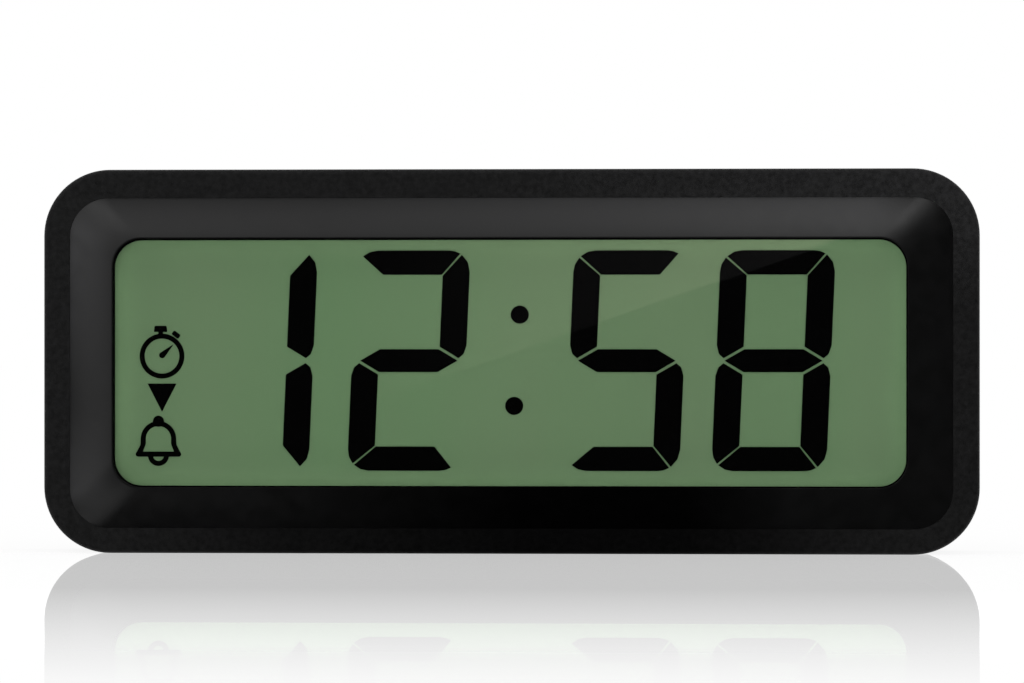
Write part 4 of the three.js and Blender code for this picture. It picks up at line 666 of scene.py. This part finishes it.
paint(case_finish, "rear_shell", "battery_door", "stand")
paint(ground_finish, "lcd_reflector")
paint(white_finish, "display_holder")
paint(rubber_finish, "zebra_strip_upper", "zebra_strip_lower", "chip_cover")
paint(board_material(), "main_board")
paint(steel_finish, "crystal", "mode_switch_body", "contact_bridge", "contact_positive", "contact_negative")
paint(can_finish, "capacitor")
paint(switch_finish, "mode_switch_lever")
paint(button_finish, "mode_slider")
paint(brass_finish, "piezo_disc")
paint(ceramic_finish, "piezo_ceramic")
paint(red_finish, "battery_lead_red", "piezo_lead_red")
paint(black_wire_finish, "battery_lead_black", "piezo_lead_black")
paint(cell_material("battery_upper", -1), "battery_upper")
paint(cell_material("battery_lower", 1), "battery_lower")
for n in range(1, 5):
    paint(steel_finish, f"case_screw_{n}", f"holder_screw_{n}")
for n in range(1, 6):
    paint(steel_finish, f"tact_switch_{n}")
    paint(switch_finish, f"tact_plunger_{n}")
    paint(button_finish, f"button_{n}")

for name in ("rear_shell", "battery_door", "stand", "mode_slider", "battery_upper",
             "battery_lower", "contact_bridge", "contact_negative", "capacitor", "crystal", "piezo_disc",
             "piezo_ceramic", "chip_cover", "battery_lead_red", "battery_lead_black", "piezo_lead_red",
             "piezo_lead_black", "button_1", "button_2", "button_3", "button_4", "button_5"):
    smooth(name)


# Display

def color_segments(glass):
    """The faces of the rear glass that stand out from it are the dark segments."""
    glass.data.materials.clear()
    glass.data.materials.append(ground_finish.material)
    glass.data.materials.append(segment_finish.material)
    limit = point(0, GLASS_FRONT - RELIEF, 0).y
    for polygon in glass.data.polygons:
        raised = any(glass.data.vertices[i].co.y < limit for i in polygon.vertices)
        polygon.material_index = 1 if raised else 0


color_segments(nodes["lcd_rear_glass"])


def plate_ring(depth, inset):
    """The outline of the display's front glass, drawn in by an amount."""
    low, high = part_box("lcd_front_glass")
    left = low.x / MM + inset
    right = high.x / MM - inset
    return rounded_ring(depth, left, right, low.z / MM + inset, high.z / MM - inset, SHEET_CORNER, 4)


# One clear plate with bevelled edges stands for the front polarizer and glass. It reaches just into
# the rear glass, so that the display shows through a single clear face.
front_sheet = closed_loft("lcd_front_sheet", [
    plate_ring(SHEET_FRONT, SHEET_BEVEL), plate_ring(SHEET_FRONT + SHEET_BEVEL, 0), plate_ring(SHEET_BACK, 0),
])
paint(film_finish, "lcd_front_sheet")
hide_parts("lcd_front_polarizer", "lcd_front_glass")


def icon(shape, name, *outlines, front=ICON_FRONT, **settings):
    """A dark sign on the display, as a prism or a strip."""
    obj = shape(name, *outlines, front, ICON_BACK, **settings)
    paint(segment_finish, name)


# Stopwatch sign
icon(strip, "watch_ring", full_circle(*WATCH, WATCH_OUTER, 60), full_circle(*WATCH, WATCH_INNER, 60))
icon(prism, "watch_crown", [
    [(-67.1, 41.7), (-64.74, 41.7), (-64.66, 41.85), (-64.76, 42.66), (-64.95, 42.86), (-66.89, 42.86),
     (-67.08, 42.66), (-67.18, 41.85)],
    [(-66.38, 41.25), (-65.46, 41.25), (-65.46, 41.7), (-66.38, 41.7)],
])
icon(prism, "watch_button", [turned(WATCH_BUTTON, 0.78, 0.46, BUTTON_TURN)])
hand_angle = math.degrees(math.atan2(HAND_TIP[1] - HAND_PIVOT[1], HAND_TIP[0] - HAND_PIVOT[0]))
icon(prism, "watch_hand", [arc(*HAND_PIVOT, HAND_RADIUS, hand_angle + 80, hand_angle + 280, 14) + [HAND_TIP]])

# Downward triangle
icon(prism, "mode_triangle", [[(-68.4, 31.97), (-65.65, 26.66), (-62.9, 31.97)]])

# Bell sign
bell_outer = bell_line(BELL_X, BELL_CENTRE, (4.2, BELL_FOOT_Z), (3.38, 20.5), 3.36)
bell_inner = bell_line(BELL_X, BELL_CENTRE, (3.02, BELL_FOOT_Z), (2.38, 20.6), 2.4)
base_left = arc(BELL_X - BASE_REACH, BASE_Z, BASE_RADIUS, 90, 270, 8)
base_right = arc(BELL_X + BASE_REACH, BASE_Z, BASE_RADIUS, -90, 90, 8)
clapper = [arc(BELL_X, CLAPPER_Z, radius, 180, 360, 20) for radius in (2.0, 1.03)]
icon(strip, "bell_dome", bell_outer, bell_inner, closed=False)
icon(prism, "bell_base", [base_left + base_right], front=ICON_FRONT - BASE_RISE)
icon(strip, "bell_clapper", *clapper, closed=False)
icon(prism, "bell_knob", [full_circle(BELL_X, KNOB_Z, 1.06, 24)], front=ICON_FRONT - BASE_RISE)


# Sloping frame and window

def bezel_ring(share, depth):
    """A ring between the frame's outer edge, share 0, and its crest, share 1."""
    sizes = {key: BEZEL[key] + (CREST[key] - BEZEL[key]) * share for key in BEZEL}
    return rounded_ring(depth, **sizes)


def bezel():
    """The frame's curved slope, its crest, and behind it the edge that holds the window; the crest's inner
    edge and that holding edge carry painted shade in near-black without gloss.
    """
    rings = [bezel_ring(0, BEZEL_SEAT), bezel_ring(0, RIM_DEPTH + GAP)]
    for i in range(1, SLOPE_STEPS):
        share = i / SLOPE_STEPS
        depth = RIM_DEPTH * (1 - share) - 4 * SLOPE_BULGE * share * (1 - share)
        rings.append(bezel_ring(share, max(depth, LEAST_DEPTH)))
    for share, depth in CREST_RINGS:
        rings.append(bezel_ring(share, depth))
    black = len(rings) - 2
    rings.append(bezel_ring(CREST_RINGS[-1][0], LENS_SEAT))
    rings.append(inset_ring(WINDOW, LENS_SEAT + LIP_BEVEL, -LIP_BEVEL))
    rings.append(inset_ring(WINDOW, LIP_BACK, -LIP_SLOPE))
    for share, depth in HOLLOW_RINGS:
        rings.append(bezel_ring(share, depth))
    rings.append(bezel_ring(HOLLOW_RINGS[-1][0], BEZEL_SEAT))
    made = ring_solid("bezel_face", rings, smooth_angle=50)
    paint(bezel_finish, "bezel_face")
    # Painted shade: the crest's inner edge and the edge that holds the window are coloured near-black without
    # gloss
    made.data.materials.append(tape_and_painted_shade_finish.material)
    count = len(rings[0])
    for polygon in made.data.polygons[black * count:(black + 4) * count]:
        polygon.material_index = 1
    return made


bezel_face = bezel()
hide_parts("bezel_insert")

pane = closed_loft("window_pane", [
    inset_ring(PANE, PANE_FRONT, PANE_BEVEL), inset_ring(PANE, PANE_FRONT + PANE_BEVEL, 0),
    inset_ring(PANE, PANE_BACK, 0),
])
paint(lens_finish, "window_pane")
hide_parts("lens")

tape = ring_solid("window_tape", [
    inset_ring(PANE, PANE_BACK + GAP, 0), inset_ring(WINDOW, PANE_BACK + GAP, 0),
    inset_ring(WINDOW, LENS_SEAT - GAP, 0), inset_ring(PANE, LENS_SEAT - GAP, 0),
])
paint(tape_and_painted_shade_finish, "window_tape")
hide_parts("lens_tape")


# Front of the case

def case_ring(depth, inset):
    """The outline of the case at one depth, drawn in by an amount."""
    half = CASE_HALF - inset
    return rounded_ring(depth, -half, half, inset, CASE_TOP - inset, CASE_CORNER - inset)


def screw_post(x, z):
    front = POCKET_BACK - POST_OVERLAP
    return [
        circle(x, z, POST_RADIUS, front), circle(x, z, POST_RADIUS, PARTING),
        circle(x, z, POST_BORE, PARTING), circle(x, z, POST_BORE, front),
    ]


def front_case():
    """The flat rim with its rounded edge, the side walls and the pocket for the sloping frame."""
    rings = [case_ring(RIM_DEPTH, CASE_EDGE + EDGE_FLAT)]
    for i in range(EDGE_STEPS + 1):
        angle = math.pi / 2 * (1 - i / EDGE_STEPS)
        depth = RIM_DEPTH + CASE_EDGE - CASE_EDGE * math.sin(angle)
        rings.append(case_ring(depth, CASE_EDGE - CASE_EDGE * math.cos(angle)))
    rings.append(case_ring(RIM_DEPTH + CASE_EDGE + EDGE_FLAT, 0))
    rings.append(case_ring(PARTING, 0))
    rings.append(case_ring(PARTING, WALL))
    rings.append(case_ring(POCKET_BACK, WALL))
    rings.append(inset_ring(OPENING, POCKET_BACK, 0))
    rings.append(inset_ring(OPENING, BEZEL_SEAT, 0))
    rings.append(inset_ring(POCKET, BEZEL_SEAT, 0))
    rings.append(inset_ring(POCKET, RIM_DEPTH + POCKET_BEVEL, 0))
    rings.append(inset_ring(POCKET, RIM_DEPTH, -POCKET_BEVEL))
    posts = [screw_post(x, z) for x in (-POST_HALF_SPAN, POST_HALF_SPAN) for z in POST_HEIGHTS]
    return ring_solid("front_case", rings, *posts)


case_front = front_case()
paint(case_finish, "front_case")
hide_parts("front_shell")


# Screws and the signs on the back

def screw(node, seat, tip, head_radius, head_height, shank_radius):
    """A pan-head screw with a cross recess, its head towards the back."""
    x, z = middle(node)
    count = 32
    back = seat + head_height
    profile = [(0.02, tip), (shank_radius * 0.6, tip), (shank_radius, tip + 0.7), (shank_radius, seat),
               (head_radius, seat), (head_radius, seat + head_height * 0.6),
               (head_radius * 0.9, seat + head_height * 0.9), (head_radius * 0.72, back)]
    bm = bmesh.new()
    rings = [[bm.verts.new(v) for v in circle(x, z, radius, depth, count)] for radius, depth in profile]
    bm.faces.new(rings[0])
    for near, far in zip(rings, rings[1:]):
        for i in range(count):
            j = (i + 1) % count
            bm.faces.new((near[i], near[j], far[j], far[i]))
    outline = cross(x, z, head_radius * 1.05, head_radius * 0.26)
    floor_outline = [(x + (u - x) * 0.8, z + (v - z) * 0.8) for u, v in outline]
    top = [bm.verts.new(point(u, back, v)) for u, v in outline]
    deep = [bm.verts.new(point(u, back - head_height * 0.55, v)) for u, v in floor_outline]
    edges = [bm.edges.new((top[i], top[(i + 1) % 12])) for i in range(12)]
    rim = [bm.edges.get((rings[-1][i], rings[-1][(i + 1) % count])) for i in range(count)]
    bmesh.ops.triangle_fill(bm, edges=edges + rim, use_beauty=True)
    for i in range(12):
        j = (i + 1) % 12
        bm.faces.new((top[i], top[j], deep[j], deep[i]))
    bm.faces.new(deep)
    bm.verts.index_update()
    verts = [v.co.copy() for v in bm.verts]
    faces = [tuple(v.index for v in face.verts) for face in bm.faces]
    bm.free()
    made = piece(f"{node}_turned", verts, faces)
    paint(steel_finish, made.name)
    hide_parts(node)


for n in range(1, 5):
    screw(f"case_screw_{n}", CASE_SCREW_SEAT, CASE_SCREW_TIP, **CASE_SCREW)
    low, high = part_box(f"holder_screw_{n}")
    seat = high.y / MM - CREST_Y - HOLDER_SCREW["head_height"]
    screw(f"holder_screw_{n}", seat, low.y / MM - CREST_Y, **HOLDER_SCREW)


def sign(shape, name, *outlines):
    """A sign printed on the back, as a prism or a strip."""
    shape(name, *outlines, PRINT_FRONT, PRINT_BACK)
    paint(sign_finish, name)


def ring_lines(x, z, outer, inner):
    return full_circle(x, z, outer), full_circle(x, z, inner)


sign(strip, "clock_sign_ring", *ring_lines(CLOCK_SIGN_X, SIGN_Z, 1.5, 1.2))
sign(prism, "clock_sign_hands", [bar(CLOCK_SIGN_X, SIGN_Z + 0.4, 0.26, 0.8),
                                 bar(CLOCK_SIGN_X - 0.35, SIGN_Z, 0.96, 0.26)])
sign(prism, "bell_sign", [
    bell_line(BELL_SIGN_X, SIGN_Z + 0.25, (1.4, SIGN_Z - 0.95), (1.05, SIGN_Z - 0.45), 1.05, 12),
    arc(BELL_SIGN_X, SIGN_Z - 1.15, 0.42, 180, 360, 8),
])
sign(prism, "plus_sign", [cross(PLUS_SIGN_X, SIGN_Z, SIGN_LENGTH, SIGN_LINE)])
sign(prism, "minus_sign", [bar(MINUS_SIGN_X, SIGN_Z, SIGN_LENGTH, SIGN_LINE)])
sign(strip, "timer_sign_ring", *ring_lines(TIMER_SIGN_X, SIGN_Z - 0.2, 1.3, 1.0))
sign(prism, "timer_sign_crown", [bar(TIMER_SIGN_X, SIGN_Z + 1.5, 0.9, 0.4),
                                 bar(TIMER_SIGN_X, SIGN_Z + 1.2, 0.3, 0.24)])
slider_x, slider_z = middle("mode_slider")
for n, radius in enumerate(DOT_RADII):
    x = slider_x + DOT_STEP - DOT_STEP * n
    sign(prism, f"slider_sign_{n + 1}", [full_circle(x, slider_z + DOT_RISE, radius, 16)])


# Table, surroundings and camera, with places in metres

TABLE_HALF = 6.0
TABLE_DROP = 0.00005
# The table's own white is part white surface and part glow
GLOW_SHARE = 0.88
# How much the table mirrors: more towards the clock, and nothing behind its face and far beside it
MIRROR_NEAR = dict(low=0.065, high=0.43, start=-0.345, end=-0.135)
MIRROR_BEHIND = dict(low=1.0, high=0.0, start=-0.011, end=0.0)
MIRROR_ASIDE = dict(low=1.0, high=0.0, start=0.1, end=0.15)
# A clearer mirror image comes on top, where these two overlap in front of the clock
CLEARER_RISE = dict(low=0.0, high=0.28, start=-0.139, end=-0.262)
CLEARER_FALL = dict(low=1.0, high=0.0, start=-0.279, end=-0.309)
# What the clock mirrors is white behind it and nearly black in front, with a soft edge between
FRONT_GLOW = 0.008
HORIZON_SOFTNESS = 0.03
CAMERA_LENS = 168.6
CAMERA_DISTANCE = 0.9
CAMERA_AZIMUTH = math.radians(3.0)
CAMERA_TARGET = Vector((0.00049, (RIM_DEPTH + CREST_Y) * MM, 0.0399))


def floor_material():
    """White with a mirror image that fades with the distance, and open when seen from below."""
    finish = Finish("floor_gloss", (1.0, 1.0, 1.0), roughness=1.0, specular=0.0)
    front = finish.coordinate("Y")
    aside = finish.number("ABSOLUTE", finish.coordinate("X"))
    before = finish.remap(front, **MIRROR_BEHIND)
    region = finish.number("MULTIPLY", before, finish.remap(aside, **MIRROR_ASIDE))
    share = finish.number("MULTIPLY", finish.remap(front, **MIRROR_NEAR), region)
    glow = finish.node("ShaderNodeEmission").outputs["Emission"]
    white = finish.mix_shader(GLOW_SHARE, finish.shader.outputs["BSDF"], glow)
    more = finish.number("MULTIPLY", finish.remap(front, **CLEARER_RISE), finish.remap(front, **CLEARER_FALL))
    clearer = finish.gloss(finish.number("MULTIPLY", more, region))
    mirrored = finish.mix_shader(share, white, finish.gloss())
    both = finish.node("ShaderNodeAddShader", {0: mirrored, 1: clearer})
    below = finish.node("ShaderNodeNewGeometry").outputs["Backfacing"]
    clear = finish.node("ShaderNodeBsdfTransparent").outputs["BSDF"]
    finish.show(finish.mix_shader(below, both.outputs["Shader"], clear))
    return finish


def floor():
    half = TABLE_HALF
    corners = [(-half, -half, 0), (half, -half, 0), (half, half, 0), (-half, half, 0)]
    mesh = bpy.data.meshes.new("floor")
    mesh.from_pydata(corners, [], [(0, 1, 2, 3)])
    obj = bpy.data.objects.new("floor", mesh)
    bpy.context.scene.collection.objects.link(obj)
    mesh.materials.append(floor_material().material)
    obj.location.z = -TABLE_DROP
    obj.visible_glossy = False
    return obj


def world():
    """White for the camera and for diffuse light; for reflections, white behind and dark in front."""
    made = bpy.data.worlds.new("studio")
    bpy.context.scene.world = made
    made.use_nodes = True
    tree = Tree(made.node_tree)
    back = tree.axis(tree.node("ShaderNodeTexCoord").outputs["Generated"], "Y")
    behind = tree.remap(back, FRONT_GLOW, 1.0, -HORIZON_SOFTNESS, HORIZON_SOFTNESS,
                        interpolation_type="SMOOTHSTEP")
    glossy = tree.node("ShaderNodeLightPath").outputs["Is Glossy Ray"]
    strength = tree.node("ShaderNodeMix", {"Factor": glossy, 2: 1.0, 3: behind}, data_type="FLOAT").outputs[0]
    background = tree.node("ShaderNodeBackground", {"Color": (1, 1, 1), "Strength": strength})
    tree.node("ShaderNodeOutputWorld", {"Surface": background.outputs["Background"]})


def camera():
    data = bpy.data.cameras.new("camera")
    data.lens = CAMERA_LENS
    data.sensor_width = 36.0
    data.clip_end = 50
    obj = bpy.data.objects.new("camera", data)
    bpy.context.scene.collection.objects.link(obj)
    towards = Vector((math.sin(CAMERA_AZIMUTH), -math.cos(CAMERA_AZIMUTH), 0))
    obj.location = CAMERA_TARGET + CAMERA_DISTANCE * towards
    obj.rotation_euler = (math.pi / 2, 0, CAMERA_AZIMUTH)
    bpy.context.scene.camera = obj


# Lights, with places and sizes in metres

def new_light(name, kind, **settings):
    """A light that the camera doesn't see."""
    data = bpy.data.lights.new(name, kind)
    for key, value in settings.items():
        setattr(data, key, value)
    obj = bpy.data.objects.new(name, data)
    bpy.context.scene.collection.objects.link(obj)
    obj.visible_camera = False
    return obj


def show_in_gloss_only(light):
    light.visible_diffuse = False
    light.visible_transmission = False


def light_alone(light, *receivers):
    """Keeps a light to a few objects."""
    lit = bpy.data.collections.new(f"lit_by_{light.name}")
    for receiver in receivers:
        lit.objects.link(receiver)
    light.light_linking.receiver_collection = lit


def floor_light(receiver):
    """White light from the front that shows in the floor's gloss alone."""
    light = new_light("floor_light", "SUN", angle=math.pi, energy=math.pi)
    light.rotation_euler = (math.pi / 2, 0, 0)
    show_in_gloss_only(light)
    light_alone(light, receiver)


def card(name, place, target, width, height, radiance, roll=0.0):
    """A soft light that shows in reflections only."""
    energy = radiance * width * height * math.pi
    light = new_light(name, "AREA", shape="RECTANGLE", size=width, size_y=height, energy=energy)
    light.location = place
    direction = Vector(target) - Vector(place)
    light.rotation_euler = direction.to_track_quat("-Z", "Y").to_euler()
    if roll:
        light.rotation_euler.rotate_axis("Z", math.radians(roll))
    show_in_gloss_only(light)
    return light


# The card in the window's glare, and the shares of its width between which it grows from nothing
GLARE_PLACE = (-0.0806, -0.93, 0.1563)
GLARE_TARGET = (-0.0806, 0, 0.1563)
GLARE_GROWTH = (0.41, 0.65)
# How steeply the glare's lower edge rises to the right
GLARE_SLOPE = 0.348


def window_glare():
    """A slanting card in front, growing from nothing on the left, which the flat window mirrors."""
    light = card("card_window", GLARE_PLACE, GLARE_TARGET, width=0.7, height=0.25, radiance=0.044, roll=18.9)
    light.data.use_nodes = True
    tree = Tree(light.data.node_tree)
    across = tree.axis(tree.node("ShaderNodeNewGeometry").outputs["Parametric"], "X")
    emission = tree.node("ShaderNodeEmission", {"Strength": tree.remap(across, 0, 1, *GLARE_GROWTH)})
    tree.node("ShaderNodeOutputLight", {"Surface": emission.outputs["Emission"]})


PATTERN_DISTANCE = 2.0
PATTERN_HEIGHT = 0.036
# How far these lights are from the display's glass
PATTERN_REACH = PATTERN_DISTANCE + (GLASS_FRONT + CREST_Y) * MM


class PatternLight(Tree):
    """A light straight in front, for some pieces alone, whose strength depends on where it falls."""

    def __init__(self, name, energy, color, *receivers):
        light = new_light(name, "POINT", shadow_soft_size=0.0, energy=energy, color=color)
        light.location = (0, -PATTERN_DISTANCE, PATTERN_HEIGHT)
        light.visible_glossy = False
        light_alone(light, *receivers)
        light.data.use_nodes = True
        super().__init__(light.data.node_tree)
        direction = self.node("ShaderNodeNewGeometry").outputs["Normal"]
        depth = self.axis(direction, "Y")
        across = self.number("DIVIDE", self.axis(direction, "X"), depth)
        up = self.number("DIVIDE", self.axis(direction, "Z"), depth)
        self.x = self.number("MULTIPLY", across, PATTERN_REACH)
        self.z = self.number("ADD", self.number("MULTIPLY", up, PATTERN_REACH), PATTERN_HEIGHT)

    def shine(self, first, second):
        """Gives the light a strength that is the product of two numbers."""
        emission = self.node("ShaderNodeEmission", {"Strength": self.number("MULTIPLY", first, second)})
        self.node("ShaderNodeOutputLight", {"Surface": emission.outputs["Emission"]})


def display_patch(*receivers):
    """Light on the display's ground, above the glare's slanting edge and growing to the right."""
    light = PatternLight("display_patch", 32, (1.0, 0.6, 0.76), *receivers)
    above = light.number("SUBTRACT", light.z, light.number("MULTIPLY", light.x, GLARE_SLOPE))
    light.shine(light.ramp(above, 37.5, 37.8), light.ramp(light.x, -42, 54))


def display_end_light(*receivers):
    """A little light on the display's right end, which the frame would darken."""
    light = PatternLight("display_end_light", 8, (0.85, 1.0, 0.95), *receivers)
    light.shine(light.ramp(light.x, 58, 72), light.ramp(light.z, 13, 13.5))


def rim_light(receiver):
    """Light on the upper right of the rim."""
    light = PatternLight("rim_light", 165, (1.0, 1.0, 1.0), receiver)
    light.shine(light.ramp(light.x, -10, 80), light.ramp(light.z, 48, 64))


def left_slope_light(receiver):
    """Light on both ends of the frame's left slope."""
    light = PatternLight("left_slope_light", 1350, (1.0, 1.0, 1.0), receiver)
    upper = light.number("MULTIPLY", light.ramp(light.z, 31, 56), light.ramp(light.z, 66, 60))
    lower = light.number("MULTIPLY", light.ramp(light.z, 27, 14), light.ramp(light.z, 8, 12))
    ends = light.number("ADD", upper, light.number("MULTIPLY", lower, 0.7))
    light.shine(ends, light.ramp(light.x, -74, -82))


def top_slope_light(receiver):
    """Light on the right half of the frame's upper slope, strongest along its outer edge."""
    light = PatternLight("top_slope_light", 1300, (1.0, 1.0, 1.0), receiver)
    outer = light.number("MULTIPLY", light.ramp(light.z, 59, 66), 0.85)
    along = light.number("MULTIPLY", light.ramp(light.x, -35, 75), light.ramp(light.x, 75, 67))
    height = light.number("MULTIPLY", light.ramp(light.z, 59, 59.5), light.number("ADD", outer, 0.15))
    light.shine(along, height)


display_ground = (nodes["lcd_rear_glass"], nodes["lcd_reflector"])
floor_light(floor())
world()
camera()
card("card_top", (-0.06, -0.50, 0.54), (0, 0, 0.06), width=0.75, height=0.34, radiance=0.77)
card("card_top_right", (0.14, -0.48, 0.52), (0.07, 0, 0.06), width=0.18, height=0.30, radiance=0.9)
card("card_right_end", (0.27, -0.48, 0.50), (0.08, 0, 0.06), width=0.12, height=0.26, radiance=0.45)
card("card_left", (-0.60, -0.50, 0.03), (-0.08, 0, 0.036), width=0.30, height=0.45, radiance=0.7)
card("card_upper_left", (-0.47, -0.51, 0.42), (-0.08, 0, 0.06), width=0.46, height=0.44, radiance=0.76)
card("card_lower_left", (-0.42, -0.51, -0.36), (-0.08, 0, 0.01), width=0.36, height=0.30, radiance=0.65)
window_glare()
display_patch(*display_ground)
display_end_light(*display_ground)
rim_light(case_front)
left_slope_light(bezel_face)
top_slope_light(bezel_face)

scene = bpy.context.scene
scene.view_settings.view_transform = "Standard"
